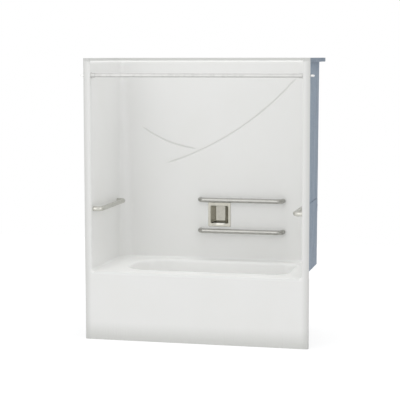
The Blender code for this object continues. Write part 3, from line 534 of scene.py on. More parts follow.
@dataclass(frozen=True)
class BrushedMetal(Finish):
    """Metal with fine scratches along it or round it, and painted shade in a recess if one is
    given.
    """

    colour: Colour = (0.45, 0.446, 0.42)
    roughness: float = 0.26
    axis: Axis = Axis.X
    brush: float = 0.16
    stain: float = 0.10
    hair_stretch: Spot = (12.0, 1500.0)
    hair_band: Spot = (0.55, 0.85)
    hair_share: float = 0.6
    scratch: float = 0.00004
    touch_band: Spot = (0.45, 0.75)
    touch_roughness: float = 0.08
    # Painted shade in a recess, if there is one
    recess: PaintedRecessShade | None = None

    def build(self) -> bpy.types.ID:
        """Lay out the nodes.

        Returns:
            The material.
        """
        graph = Graph(self.name)
        spot = graph.place()
        brushed = graph.place(self.axis.stretch(*self.hair_stretch))
        hair = graph.mottle(brushed, detail=3.0, rough=0.7)
        touch = graph.mottle(spot, scale=26.0, detail=4.0, rough=0.6)
        stained = tuple(part * (1.0 - self.stain) for part in self.colour)
        colour = graph.mix(self.colour, stained, touch.rises(*self.touch_band))
        colour = graph.mix(colour, stained, hair.rises(*self.hair_band) * self.hair_share)
        # Painted shade: the metal inside the recess is painted darker, most along its foot
        if self.recess:
            recess = self.recess
            _, deep, high = graph.parts(spot)
            inside = deep.rises(recess.depth, recess.depth + recess.fade)
            foot = high.falls(recess.foot, recess.foot + recess.rise)
            dark = tuple(part * recess.tone for part in self.colour)
            colour = graph.mix(colour, dark, inside * (foot * recess.foot_shade_share + recess.share))
        middle = self.roughness - (self.brush + self.touch_roughness) / 2
        return graph.principled(
            Base_Color=colour, Metallic=1.0,
            Roughness=hair * self.brush + touch * self.touch_roughness + middle,
            Normal=graph.bump(hair, depth=self.scratch, strength=0.7))


@dataclass(frozen=True)
class ZincPlate(Finish):
    """Zinc-plated steel with its frost of crystals and a few dull marks."""

    colour: Colour = (0.55, 0.57, 0.58)
    shade: Colour = (0.36, 0.38, 0.40)
    frost_a_metre: float = 260.0
    frost_band: Spot = (0.2, 0.9)
    frost_share: float = 0.4
    dull_band: Spot = (0.55, 0.8)
    dull_share: float = 0.5
    roughness: float = 0.34
    dull_roughness: float = 0.25

    def build(self) -> bpy.types.ID:
        """Lay out the nodes.

        Returns:
            The material.
        """
        graph = Graph(self.name)
        spot = graph.place()
        frost = graph.cells(spot, self.frost_a_metre)
        dull = graph.mottle(spot, scale=60.0, detail=4.0, rough=0.65)
        shaded = frost.rises(*self.frost_band) * self.frost_share
        shaded = shaded + dull.rises(*self.dull_band) * self.dull_share
        return graph.principled(
            Base_Color=graph.mix(self.colour, self.shade, shaded), Metallic=0.9,
            Roughness=self.roughness + dull * self.dull_roughness,
            Normal=graph.bump(frost, depth=0.00008, strength=0.5))


@dataclass(frozen=True)
class Chrome(Finish):
    """Polished chrome with water marks and fine wiping."""

    colour: Colour = (0.78, 0.79, 0.80)
    spots: Colour = (0.62, 0.64, 0.65)
    spots_a_metre: float = 190.0
    spot_band: Spot = (0.05, 0.28)
    spot_share: float = 0.35
    wipe_stretch: Point = (300.0, 60.0, 300.0)
    roughness: float = 0.06
    wipe_roughness: float = 0.07
    spot_roughness: float = 0.10

    def build(self) -> bpy.types.ID:
        """Lay out the nodes.

        Returns:
            The material.
        """
        graph = Graph(self.name)
        marks = graph.cells(graph.place(), self.spots_a_metre).falls(*self.spot_band)
        wipe = graph.mottle(graph.place(self.wipe_stretch), detail=3.0)
        return graph.principled(
            Base_Color=graph.mix(self.colour, self.spots, marks * self.spot_share), Metallic=1.0,
            Roughness=self.roughness + wipe * self.wipe_roughness + marks * self.spot_roughness,
            Normal=graph.bump(wipe, depth=0.00002, strength=0.5))


@dataclass(frozen=True)
class Brass(Finish):
    """Raw brass tube, tarnished in clouds."""

    colour: Colour = (0.66, 0.47, 0.20)
    tarnish: Colour = (0.30, 0.20, 0.10)
    tarnish_band: Spot = (0.44, 0.74)
    tarnish_share: float = 0.85
    drawn_stretch: Point = (700.0, 700.0, 20.0)
    roughness: float = 0.24
    tarnish_roughness: float = 0.32

    def build(self) -> bpy.types.ID:
        """Lay out the nodes.

        Returns:
            The material.
        """
        graph = Graph(self.name)
        cloud = graph.mottle(graph.place(), scale=34.0, detail=5.0, rough=0.65)
        drawn = graph.mottle(graph.place(self.drawn_stretch))
        dulled = cloud.rises(*self.tarnish_band) * self.tarnish_share
        return graph.principled(
            Base_Color=graph.mix(self.colour, self.tarnish, dulled), Metallic=0.95,
            Roughness=self.roughness + cloud * self.tarnish_roughness,
            Normal=graph.bump(drawn, depth=0.00006, strength=0.6))


@dataclass(frozen=True)
class Plywood(Finish):
    """Rough plywood: long grain on the face, glue lines through the edge, and resin smears."""

    pale: Colour = (0.62, 0.46, 0.28)
    grain: Colour = (0.36, 0.23, 0.12)
    resin: Colour = (0.25, 0.29, 0.32)
    axis: Axis = Axis.X
    layers: Axis = Axis.Y
    layers_a_metre: float = 400.0
    smear: float = 0.35
    smear_band: Spot = (0.56, 0.66)
    streak_stretch: Spot = (5.0, 90.0)
    streak_band: Spot = (0.42, 0.70)
    streak_share: float = 0.6
    ring_stretch: Spot = (1.6, 22.0)
    ring_band: Spot = (0.5, 0.62)
    ring_share: float = 0.3
    glue_band: Spot = (0.40, 0.49)
    glue_share: float = 0.35
    roughness: float = 0.78
    wet_gloss: float = 0.3

    def build(self) -> bpy.types.ID:
        """Lay out the nodes.

        Returns:
            The material.
        """
        graph = Graph(self.name)
        spot = graph.place()
        streaked = graph.place(self.axis.stretch(*self.streak_stretch))
        streak = graph.mottle(streaked, detail=4.0, rough=0.6)
        rings = graph.mottle(graph.place(self.axis.stretch(*self.ring_stretch)))
        depth = graph.parts(spot)[list(Axis).index(self.layers)] * self.layers_a_metre
        glue = abs(depth.fraction() - 0.5)
        lines = streak.rises(*self.streak_band) * self.streak_share
        lines = lines + rings.rises(*self.ring_band) * self.ring_share
        wet = graph.mottle(spot, scale=11.0, detail=4.0, rough=0.6)
        wet = wet.rises(*self.smear_band) * self.smear
        colour = graph.node("ShaderNodeValToRGB", {"stops": ((0.0, self.pale), (1.0, self.grain))},
                            {"Fac": lines})
        colour = graph.mix(colour, self.grain, glue.rises(*self.glue_band) * self.glue_share)
        return graph.principled(
            Base_Color=graph.mix(colour, self.resin, wet),
            Roughness=self.roughness - wet * self.wet_gloss,
            Normal=graph.bump(streak, depth=0.0006, strength=0.7))


@dataclass(frozen=True)
class Moulded(Finish):
    """Moulded plastic or rubber: a fine grain, slightly dusty in clouds."""

    colour: Colour = (0.022, 0.023, 0.025)
    dust: Colour = (0.10, 0.10, 0.10)
    dust_band: Spot = (0.50, 0.85)
    dust_share: float = 0.45
    dust_roughness: float = 0.22
    roughness: float = 0.36
    grain: float = 700.0

    def build(self) -> bpy.types.ID:
        """Lay out the nodes.

        Returns:
            The material.
        """
        graph = Graph(self.name)
        spot = graph.place()
        fine = graph.mottle(spot, scale=self.grain)
        cloud = graph.mottle(spot, scale=40.0, detail=4.0, rough=0.6)
        dusty = cloud.rises(*self.dust_band) * self.dust_share
        return graph.principled(
            Base_Color=graph.mix(self.colour, self.dust, dusty),
            Roughness=cloud * self.dust_roughness + self.roughness,
            Normal=graph.bump(fine, depth=0.00012, strength=0.6))


@dataclass
class Paintbox:
    """Builds each finish once and hands out its material."""

    made: dict[Finish, bpy.types.ID] = field(default_factory=dict)

    def material(self, finish: Finish) -> bpy.types.ID:
        """The material of a finish, built the first time that it is asked for.

        Args:
            finish: the finish.

        Returns:
            Its material.
        """
        if finish not in self.made:
            self.made[finish] = finish.build()
        return self.made[finish]


GEL_COAT = GelCoat("white_gelcoat_skin")
FIBRE = FibreLay("sprayed_fibre_back")
# Painted shade and light: the back bars' steel is a darker copy and the side bars' a lighter copy
# of one steel
SHADED_BAR_STEEL = BrushedMetal("bar_steel_across")
LIT_SIDE_BAR_STEEL = BrushedMetal("bar_steel_deep", (0.60, 0.595, 0.55), axis=Axis.Y)
ROD_STEEL = BrushedMetal("rod_steel", (0.67, 0.67, 0.655), roughness=0.50)
CAP_STEEL = BrushedMetal("cap_steel", (0.84, 0.84, 0.83), roughness=0.30)
# Painted light: a lighter copy of the dish steel for the soap lip, for the light its bowed face
# catches
LIT_LIP_STEEL = BrushedMetal("lip_steel_painted_light", (0.80, 0.785, 0.72), roughness=0.24)
# The dish's steel has painted shade in its recess
DISH_STEEL = BrushedMetal("dish_steel", (0.53, 0.515, 0.455), roughness=0.20, axis=Axis.Z,
                          brush=0.08, stain=0.12,
                          recess=PaintedRecessShade(depth=0.3345, foot=0.722, rise=0.016))
ZINC = ZincPlate("zinc_plated_steel")
CHROME = Chrome("chromed_brass")
BRASS = Brass("raw_brass")
BOARD_WOOD = Plywood("board_wood")
RUNNER_WOOD = Plywood("runner_wood", axis=Axis.Y, layers=Axis.Z, smear=0.1)
BLACK_PLASTIC = Moulded("black_moulded_plastic")
RUBBER = Moulded("black_rubber_ring", (0.016, 0.016, 0.016), dust=(0.06, 0.06, 0.06),
                 roughness=0.60, grain=1200.0)
PAINTS = Paintbox()


# ---------------------------------------------------------------- mesh tools


def arc(centre: Spot, radius: float, first: float, last: float, steps: int) -> list[Spot]:
    """Points on an arc in a plane.

    Args:
        centre: its middle.
        radius: its radius.
        first: its first angle in degrees.
        last: its last angle in degrees.
        steps: how many pieces it is cut into.

    Returns:
        The points, both ends among them.
    """
    angles = [math.radians(first + (last - first) * step / steps) for step in range(steps + 1)]
    return [(centre[0] + radius * math.cos(a), centre[1] + radius * math.sin(a)) for a in angles]


def quarter(steps: int, first: int = 0) -> list[Spot]:
    """The sine and cosine at even steps through a quarter turn.

    Args:
        steps: how many steps the quarter has.
        first: the step to begin at.

    Returns:
        A pair for each step, the last among them.
    """
    angles = [math.pi / 2 * step / steps for step in range(first, steps + 1)]
    return [(math.sin(a), math.cos(a)) for a in angles]


def ring_of(steps: int, radius: float = 1.0) -> list[Spot]:
    """Points evenly round a circle, the first on its X axis."""
    angles = [2 * math.pi * step / steps for step in range(steps)]
    return [(radius * math.cos(a), radius * math.sin(a)) for a in angles]


def lay(form: Form, points: Iterable[Point]) -> Row:
    """Put points into a form and give back its vertices."""
    return [form.verts.new(point) for point in points]


def skin(form: Form, rows: Sequence[Row], ring: bool = False, ends: bool = False) -> None:
    """Join rows of vertices with faces.

    Args:
        form: the mesh being made.
        rows: rows of as many vertices each.
        ring: whether each row closes on itself.
        ends: whether the first and last rows become faces.
    """
    for low, high in zip(rows, rows[1:]):
        count = len(low) if ring else len(low) - 1
        for index in range(count):
            after = (index + 1) % len(low)
            loop = list(dict.fromkeys((low[index], low[after], high[after], high[index])))
            if len(loop) > 2:
                form.faces.new(loop)
    if ends:
        form.faces.new(rows[0])
        form.faces.new(rows[-1])


def face_towards(form: Form, probe: Point, direction: Point) -> None:
    """Turn an open form so that its face nearest a point looks one way.

    Args:
        form: the mesh being made.
        probe: a point near the face.
        direction: where it should look.
    """
    bmesh.ops.recalc_face_normals(form, faces=form.faces)
    form.normal_update()
    nearest = min(form.faces, key=lambda face: (face.calc_center_median() - Vector(probe)).length)
    if nearest.normal.dot(Vector(direction)) < 0.0:
        bmesh.ops.reverse_faces(form, faces=form.faces)


def thing_of(form: Form, name: str, *finishes: Finish) -> Thing:
    """An object in the scene from a form.

    Args:
        form: its mesh, used up here.
        name: what it is called.
        finishes: finishes for its material slots.

    Returns:
        The object.
    """
    mesh = bpy.data.meshes.new(name)
    form.to_mesh(mesh)
    form.free()
    for finish in finishes:
        mesh.materials.append(PAINTS.material(finish))
    thing = bpy.data.objects.new(name, mesh)
    bpy.context.scene.collection.objects.link(thing)
    return thing


def closed_thing(form: Form, name: str) -> Thing:
    """An object from a closed form, with every face looking outwards."""
    bmesh.ops.recalc_face_normals(form, faces=form.faces)
    return thing_of(form, name)


def modify(thing: Thing, name: str, kind: str, **settings: object) -> None:
    """Add a modifier.

    Args:
        thing: what it is added to.
        name: what it is called.
        kind: its type.
        settings: its settings.
    """
    step = thing.modifiers.new(name, kind)
    for key, value in settings.items():
        setattr(step, key, value)


def apply_modifiers(thing: Thing) -> None:
    """Keep what an object's modifiers make of it as its own mesh.

    Args:
        thing: the object.
    """
    bpy.context.view_layer.update()
    seen = thing.evaluated_get(bpy.context.evaluated_depsgraph_get())
    mesh = bpy.data.meshes.new_from_object(seen)
    thing.modifiers.clear()
    thing.data = mesh


def combine(thing: Thing, tools: Sequence[Thing], operation: str) -> None:
    """Cut closed tools out of an object or weld them on, and throw them away.

    Args:
        thing: what changes.
        tools: what it changes with.
        operation: DIFFERENCE or UNION.
    """
    for tool in tools:
        modify(thing, tool.name, "BOOLEAN", operation=operation, solver="EXACT", object=tool)
    apply_modifiers(thing)
    for tool in tools:
        bpy.data.objects.remove(tool, do_unlink=True)


def cut_away(thing: Thing, tools: Sequence[Thing]) -> None:
    """Cut closed tools out of an object."""
    combine(thing, tools, "DIFFERENCE")


def weld_on(thing: Thing, tools: Sequence[Thing]) -> None:
    """Make closed tools part of an object."""
    combine(thing, tools, "UNION")


def soften(thing: Thing, width: float) -> None:
    """Round the sharp edges of an object.

    Args:
        thing: the object.
        width: how far in from each edge the rounding starts.
    """
    modify(thing, "rounded_edges", "BEVEL", width=width, segments=3, limit_method="ANGLE",
           angle_limit=math.radians(30.0))
    apply_modifiers(thing)


def thicken(thing: Thing, thickness: float, **settings: object) -> None:
    """Give an open sheet its thickness behind its face.

    Args:
        thing: the sheet.
        thickness: how thick it gets.
        settings: other settings of the modifier that does it.
    """
    modify(thing, "thickness", "SOLIDIFY", thickness=thickness, offset=-1.0, **settings)
    apply_modifiers(thing)


def sweep(name: str, line: Sequence[Point], radii: Sequence[float], sides: int, up: Point) -> Thing:
    """A round bar along a line, closed at both ends.

    Args:
        name: the object's name.
        line: points along its middle.
        radii: its radius at each point.
        sides: how many sides it has.
        up: a direction that the line never takes.

    Returns:
        The object.
    """
    form = bmesh.new()
    points = [Vector(point) for point in line]
    rows = []
    for index, (point, radius) in enumerate(zip(points, radii)):
        before, after = points[max(index - 1, 0)], points[min(index + 1, len(points) - 1)]
        ahead = (after - before).normalized()
        side = Vector(up).cross(ahead).normalized()
        rise = ahead.cross(side)
        rows.append(lay(form, [point + (side * x + rise * y) * radius for x, y in ring_of(sides)]))
    skin(form, rows, ring=True, ends=True)
    return closed_thing(form, name)


def turn(name: str, profile: Sequence[Spot], middle: Point, axis: Point, steps: int = 48,
         ring: bool = False) -> Thing:
    """A turned shape.

    Args:
        name: the object's name.
        profile: pairs of radius and height along the axis.
        middle: where height zero is.
        axis: the direction of height.
        steps: how many sides it has.
        ring: whether the profile closes on itself, as round a hole.

    Returns:
        The object.
    """
    form = bmesh.new()
    turned = Vector(axis).to_track_quat("Z", "X").to_matrix()
    rows = []
    for radius, height in profile:
        around = [(0.0, 0.0)] if radius < TINY else ring_of(steps, radius)
        row = lay(form, [Vector(middle) + turned @ Vector((x, y, height)) for x, y in around])
        rows.append(row if len(row) > 1 else row * steps)
    if ring:
        rows.append(rows[0])
    skin(form, rows, ring=True)
    return closed_thing(form, name)


def drum(name: str, radius: float, half: float, middle: Point, axis: Point,
         steps: int = 48) -> Thing:
    """A plain round bar, to cut with or to weld on.

    Args:
        name: the object's name.
        radius: its radius.
        half: half its length.
        middle: its middle.
        axis: the direction of its length.
        steps: how many sides it has.

    Returns:
        The object.
    """
    profile = [(0.0, -half), (radius, -half), (radius, half), (0.0, half)]
    return turn(name, profile, middle, axis, steps)


def block(name: str, low: Point, high: Point) -> Thing:
    """A closed box, to cut with or to weld on.

    Args:
        name: the object's name.
        low: its lowest corner.
        high: its highest corner.

    Returns:
        The object.
    """
    form = bmesh.new()
    bmesh.ops.create_cube(form, size=1.0)
    bmesh.ops.scale(form, vec=Vector(high) - Vector(low), verts=form.verts)
    bmesh.ops.translate(form, vec=(Vector(low) + Vector(high)) / 2, verts=form.verts)
    return thing_of(form, name)


def settle(thing: Thing, finish: Finish, slot: str, *nodes: str, body: str = "unit",
           degrees: float = 32.0) -> None:
    """Finish a piece and hang it on the model.

    Args:
        thing: the piece, in place.
        finish: its finish, if it has none yet.
        slot: the record's material slot that the finish belongs to; it is not used.
        nodes: the model's nodes that it stands for.
        body: the body that it moves with.
        degrees: edges above this angle stay sharp.
    """
    if not thing.data.materials:
        thing.data.materials.append(PAINTS.material(finish))
    thing.data.shade_smooth()
    thing.data.set_sharp_from_angle(angle=math.radians(degrees))
    modify(thing, "even_shading", "WEIGHTED_NORMAL", keep_sharp=True, weight=60)
    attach(thing, body)
    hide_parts(*nodes)
    log.info("%s: %d faces, stands for %s", thing.name, len(thing.data.polygons), ", ".join(nodes))


# ---------------------------------------------------------------- what the assemblies share


class Assembly:
    """A group of things that are built together."""

    def build(self) -> None:
        """Make them."""
        raise NotImplementedError


@dataclass
class UnitPart(Assembly):
    """A group of the unit's pieces, with the places, sizes and gaps that the groups share."""

    side_face: float = 0.711
    wall_face: float = 0.3337
    rim: float = 0.463
    drain: Spot = (0.454, 0.01085)
    overflow_height: float = 0.336
    pivot_x: float = 0.60118
    hinge_pin: float = 0.0018
    lever_width: float = 0.0065
    gap: float = 0.0003


# ---------------------------------------------------------------- the white moulding


@dataclass(frozen=True)
class Level:
    """One level of the walls: how far out and back they are, their corners, height and roll."""

    side: float
    rear: float
    corner: float
    height: float
    roll: float


@dataclass
class Moulding(UnitPart):
    """The white bath and walls, one seamless sheet, and the sprayed fibre behind it."""

    half_width: float = 0.7588
    front: float = -0.381
    top: float = 1.886
    sheet: float = 0.004
    # The front: its rolled edges and the returns at its sides
    wall_start: float = 0.0263
    wall_roll: float = 0.015
    deck_roll: float = 0.018
    outer_roll: float = 0.013
    wall_return: float = 0.018
    tub_return: float = 0.030
    roll_steps: int = 8
    outer_steps: int = 6
    # The walls, the ledge and the lip
    deck_cove: float = 0.014
    wall_steps: int = 10
    corner_steps: int = 10
    corner_low: float = 0.100
    corner_high: float = 0.042
    ledge: float = 1.866
    ledge_roll: float = 0.012
    ledge_steps: int = 6
    lip_face: float = 0.7515
    lip_corner: float = 0.075
    lip_fillet: float = 0.004
    lip_steps: int = 3
    # The basin: how far it has come down and in at each of its levels
    basin_low: Spot = (-0.556, -0.262)
    basin_high: Spot = (0.606, 0.2837)
    basin_corners: Spot = (0.215, 0.130)
    basin_corner_steps: int = 16
    basin_edge: float = 0.022
    basin_edge_steps: int = 8
    basin_depth: float = 0.348
    backrest: float = 0.170
    drain_end: float = 0.035
    sides_in: float = 0.055
    floor_corners: Spot = (0.110, 0.080)
    drops: tuple[float, ...] = (0.0, 0.55, 0.80, 0.93, 0.985, 1.0)
    slopes: tuple[float, ...] = (0.0, 0.22, 0.42, 0.62, 0.80, 1.0)
    end_slopes: tuple[float, ...] = (0.0, 0.0, 0.0, 0.30, 0.65, 1.0)
    level_steps: int = 6
    # The pressed arcs: middle, radius, first and last angle, steps
    arcs: tuple[tuple[Spot, float, Spot, int], ...] = (
        ((-0.984, 3.099), 2.049, (-74.0, -40.2), 60),
        ((-0.070, 2.075), 0.833, (-127.2, -94.4), 36))
    groove: float = 0.013
    groove_sink: float = 0.0034
    groove_end_share: float = 0.70
    groove_end_steps: int = 4
    groove_sides: int = 14
    # The holes
    drain_hole: float = 0.024
    overflow_hole: float = 0.028
    hole_reach: float = 0.03
    dish_low: Spot = (-0.0574, 0.7167)
    dish_high: Spot = (0.0747, 0.8467)
    dish_start: float = 0.02
    # The fibre behind the sheet
    back_offset: float = 0.0043
    fibre: float = 0.003
    fibre_front: float = -0.351
    fibre_low: float = 0.0035
    fibre_bend: float = 0.005
    fibre_bend_steps: int = 4
    # Its steps up the walls, and those along a side wall, round a corner and across the back
    fibre_levels: int = 96
    fibre_grid: tuple[int, int, int] = (44, 10, 84)
    # How far it is pushed in, unevenly, by waves of a scale and a share each
    fibre_lift: float = 0.0006
    waves: tuple[Spot, ...] = ((26.0, 0.6), (71.0, 0.4))
    tub_gap: float = 0.010
    tub_roll_steps: int = 6
    # Where on the back wall a sheet's facing is settled
    probe_height: float = 1.2

    def corner_at(self, height: float) -> float:
        """The radius of the corners between the walls, at a height."""
        share = (height - self.rim) / (self.ledge - self.ledge_roll - self.rim)
        return self.corner_low + (self.corner_high - self.corner_low) * min(max(share, 0.0), 1.0)

    def plan(self, side: float, rear: float, start: float, radius: float) -> list[Spot]:
        """The walls in plan at one height, from the right front round to the left front.

        Args:
            side: how far out the side walls are.
            rear: how far back the back wall is.
            start: where the side walls begin.
            radius: the radius of the corners.

        Returns:
            The outline.
        """
        right = [(side, start)] + arc((side - radius, rear - radius), radius, 0.0, 90.0,
                                       self.corner_steps)
        return right + [(-x, y) for x, y in reversed(right)]

    def wall_levels(self) -> list[Level]:
        """Each level of the walls.

        Returns:
            The levels, from the deck up.
        """
        levels = []
        for step, (sine, cosine) in enumerate(quarter(self.roll_steps)):
            inset = self.deck_cove * (1 - sine)
            height = self.rim + self.deck_cove * (1 - cosine)
            roll = self.deck_roll + (self.wall_roll - self.deck_roll) * step / self.roll_steps
            levels.append(Level(self.side_face - inset, self.wall_face - inset,
                                self.corner_at(height) - inset, height, roll))
        first, last = levels[-1].height, self.ledge - self.ledge_roll
        for step in range(1, self.wall_steps + 1):
            height = first + (last - first) * step / self.wall_steps
            levels.append(Level(self.side_face, self.wall_face, self.corner_at(height), height,
                                self.wall_roll))
        reach = self.lip_face - self.side_face
        outs = [(self.ledge_roll * (1 - cosine), last + self.ledge_roll * sine)
                for sine, cosine in quarter(self.ledge_steps, 1)]
        outs += [(reach - self.lip_fillet * (1 - sine), self.ledge + self.lip_fillet * (1 - cosine))
                 for sine, cosine in quarter(self.lip_steps)]
        outs.append((reach, self.top))
        for out, height in outs:
            radius = self.corner_high + (self.lip_corner - self.corner_high) * out / reach
            levels.append(Level(self.side_face + out, self.wall_face + out, radius, height,
                                self.wall_roll))
        return levels

    def wall_row(self, form: Form, level: Level, column: float) -> Row:
        """One level of the walls, with the place where it meets the front roll at each end.

        Args:
            form: the mesh being made.
            level: the level.
            column: the height where it meets the front roll.

        Returns:
            Its vertices, from the right front round to the left front.
        """
        outline = self.plan(level.side, level.rear, self.front + self.wall_start, level.corner)
        edge, start = min(level.side, self.side_face), self.front + level.roll
        return lay(form, [(edge, start, column), *((x, y, level.height) for x, y in outline),
                          (-edge, start, column)])

    def build_walls(self, form: Form, levels: Sequence[Level]) -> list[Row]:
        """Add the walls, the ledge and the lip.

        Args:
            form: the mesh being made.
            levels: the levels of the walls.

        Returns:
            A row for each level.
        """
        straight = self.ledge - self.ledge_roll
        above = [level for level in levels if level.height > straight + TINY]
        rows = []
        for level in levels:
            column = level.height
            if level in above:
                share = (above.index(level) + 1) / len(above)
                column = straight + (self.top - straight) * share
            rows.append(self.wall_row(form, level, column))
        skin(form, rows)
        return rows

    def build_roll(self, form: Form, rows: Sequence[Row], levels: Sequence[Level]) -> Row:
        """Add the rolled edge of the opening.

        Args:
            form: the mesh being made.
            rows: the rows of the walls.
            levels: the levels of the walls.

        Returns:
            The roll's outer edge, in the flat of the front.
        """
        ends = list(zip(rows, levels))
        line = [(row[0], level.roll) for row, level in reversed(ends)]
        line += [(row[-1], level.roll) for row, level in ends]
        centre_height = self.rim + self.deck_cove
        outward = []
        for vert, _ in line:
            x, z = vert.co.x, vert.co.z
            away = Vector((math.copysign(1.0, x), 0.0, 0.0))
            if z < centre_height - TINY:
                middle = math.copysign(self.side_face - self.deck_cove, x)
                away = Vector((x - middle, 0.0, z - centre_height)).normalized()
            outward.append(away)
        rings = [[vert for vert, _ in line]]
        for sine, cosine in quarter(self.roll_steps, 1):
            points = []
            for (vert, roll), away in zip(line, outward):
                spot = vert.co + away * roll * (1 - cosine)
                spot.y = self.front + roll * (1 - sine)
                points.append(spot)
            rings.append(lay(form, points))
        skin(form, rings)
        return rings[-1]

    def build_front(self, form: Form, inner: Row) -> None:
        """Add the flat front and the returns at its sides.

        Args:
            form: the mesh being made.
            inner: the outer edge of the opening's roll.
        """
        edge = self.half_width - self.outer_roll
        left, right = (lay(form, [(sign * edge, self.front, height)
                                  for height in (0.0, self.rim, self.top)]) for sign in (-1.0, 1.0))
        form.faces.new((*inner, *reversed(left), *right))
        for sign, column in ((-1.0, left), (1.0, right)):
            bend = arc((edge, self.front + self.outer_roll), self.outer_roll, -90.0, 0.0,
                       self.outer_steps)[1:]
            bend.append((self.half_width, self.front + self.wall_return))
            columns = [column] + [lay(form, [(sign * x, y, vert.co.z) for vert in column])
                                  for x, y in bend]
            skin(form, columns)
            foot = lay(form, [(sign * self.half_width, self.front + self.tub_return, vert.co.z)
                              for vert in column[:2]])
            skin(form, [columns[-1][:2], foot])

    def basin_outline(self, inset: Spot, drain: float, corners: Spot) -> list[Spot]:
        """The basin in plan at one depth.

        Args:
            inset: how far in its backrest end and its long sides have come.
            drain: how far in its drain end has come.
            corners: the corner radius at each end.

        Returns:
            The outline.
        """
        low_x, high_x = self.basin_low[0] + inset[0], self.basin_high[0] - drain
        low_y, high_y = self.basin_low[1] + inset[1], self.basin_high[1] - inset[1]
        left, right = corners
        middles = ((high_x - right, low_y + right), (high_x - right, high_y - right),
                   (low_x + left, high_y - left), (low_x + left, low_y + left))
        points = []
        for number, (middle, radius) in enumerate(zip(middles, (right, right, left, left))):
            first = -90.0 + 90.0 * number
            points += arc(middle, radius, first, first + 90.0, self.basin_corner_steps)
        return points

    @staticmethod
    def between(shares: Sequence[float], place: float) -> float:
        """A value on a smooth curve through evenly spaced shares.

        Args:
            shares: the values to pass through.
            place: how far along, counted in shares.

        Returns:
            The value.
        """
        index = min(int(place), len(shares) - 2)
        t = place - index
        ends = [2 * shares[0] - shares[1], *shares, shares[-1]]
        a, b, c, d = ends[index:index + 4]
        square, cube = 2 * a - 5 * b + 4 * c - d, 3 * b - a - 3 * c + d
        value = b + t * ((c - a) + t * (square + t * cube)) / 2
        return min(max(value, shares[0]), shares[-1])

    def basin_rings(self) -> list[list[Point]]:
        """Rings round the basin.

        Returns:
            The rings, from the deck down to its floor.
        """
        edge = self.basin_edge
        rings = []
        for sine, cosine in quarter(self.basin_edge_steps):
            inset, height = edge * sine, self.rim - edge * (1 - cosine)
            corners = tuple(radius - inset for radius in self.basin_corners)
            outline = self.basin_outline((inset, inset), inset, corners)
            rings.append([(x, y, height) for x, y in outline])
        for step in range(1, (len(self.drops) - 1) * self.level_steps + 1):
            drop, slope, end = (self.between(shares, step / self.level_steps)
                                for shares in (self.drops, self.slopes, self.end_slopes))
            corners = tuple(top - edge + (floor - top + edge) * slope
                            for top, floor in zip(self.basin_corners, self.floor_corners))
            outline = self.basin_outline(
                (edge + self.backrest * slope, edge + self.sides_in * slope),
                edge + self.drain_end * end, corners)
            height = self.rim - edge - (self.basin_depth - edge) * drop
            rings.append([(x, y, height) for x, y in outline])
        return rings

    def build_tub(self, form: Form, border: Row) -> None:
        """Add the flat of the deck and the basin.

        Args:
            form: the mesh being made.
            border: the outline of the deck, in order.
        """
        rings = [lay(form, ring) for ring in self.basin_rings()]
        edges = []
        for line in (border, rings[0]):
            for pair in zip(line, line[1:] + line[:1]):
                edges.append(form.edges.get(pair) or form.edges.new(pair))
        bmesh.ops.triangle_fill(form, use_beauty=True, edges=edges, normal=UP)
        skin(form, rings, ring=True)
        form.faces.new(rings[-1])

    def arc_cutters(self) -> list[Thing]:
        """Round bars that press the two crossing arcs into the back wall.

        Returns:
            The bars, thinner towards their ends.
        """
        depth = self.wall_face - self.groove + self.groove_sink
        cutters = []
        for number, (middle, radius, (first, last), steps) in enumerate(self.arcs):
            line = [(x, depth, z) for x, z in arc(middle, radius, first, last, steps)]
            end = self.groove_end_share
            radii = [self.groove * min(1.0, end + (1.0 - end) * min(index, steps - index)
                                       / self.groove_end_steps) for index in range(steps + 1)]
            cutters.append(sweep(f"arc_press_{number}", line, radii, self.groove_sides, BACK))
        return cutters

    def waste_holes(self) -> list[Thing]:
        """What the drain and the overflow are let in through.

        Returns:
            A round bar for each.
        """
        end = (self.basin_high[0] - self.basin_edge, self.drain[1], self.overflow_height)
        return [drum("drain_cut", self.drain_hole, self.hole_reach,
                     (*self.drain, self.rim - self.basin_depth), UP),
                drum("overflow_cut", self.overflow_hole, self.hole_reach, end, RIGHT)]

    def dish_hole(self, start: float) -> Thing:
        """What the soap dish is let in through, from this depth back."""
        return block("dish_cut", (self.dish_low[0], start, self.dish_low[1]),
                     (self.dish_high[0], self.wall_face + self.hole_reach, self.dish_high[1]))

    @staticmethod
    def give_thickness(thing: Thing, thickness: float) -> None:
        """Thicken a sheet evenly, with the second finish on its back."""
        thicken(thing, thickness, use_even_offset=True, use_quality_normals=True,
                thickness_clamp=1.0, material_offset=1, material_offset_rim=0)

    def make_skin(self) -> None:
        """The white sheet that stands for the bath and the walls."""
        form = bmesh.new()
        levels = self.wall_levels()
        rows = self.build_walls(form, levels)
        self.build_front(form, self.build_roll(form, rows, levels))
        self.build_tub(form, rows[0])
        face_towards(form, (0.0, self.wall_face, self.probe_height), FRONT)
        piece = thing_of(form, "white_moulding", GEL_COAT, FIBRE)
        self.give_thickness(piece, self.sheet)
        cut_away(piece, [*self.arc_cutters(), *self.waste_holes(),
                         self.dish_hole(self.wall_face - self.dish_start)])
        settle(piece, GEL_COAT, "white_gelcoat", "tub_shell", "wall_surround", degrees=40.0)

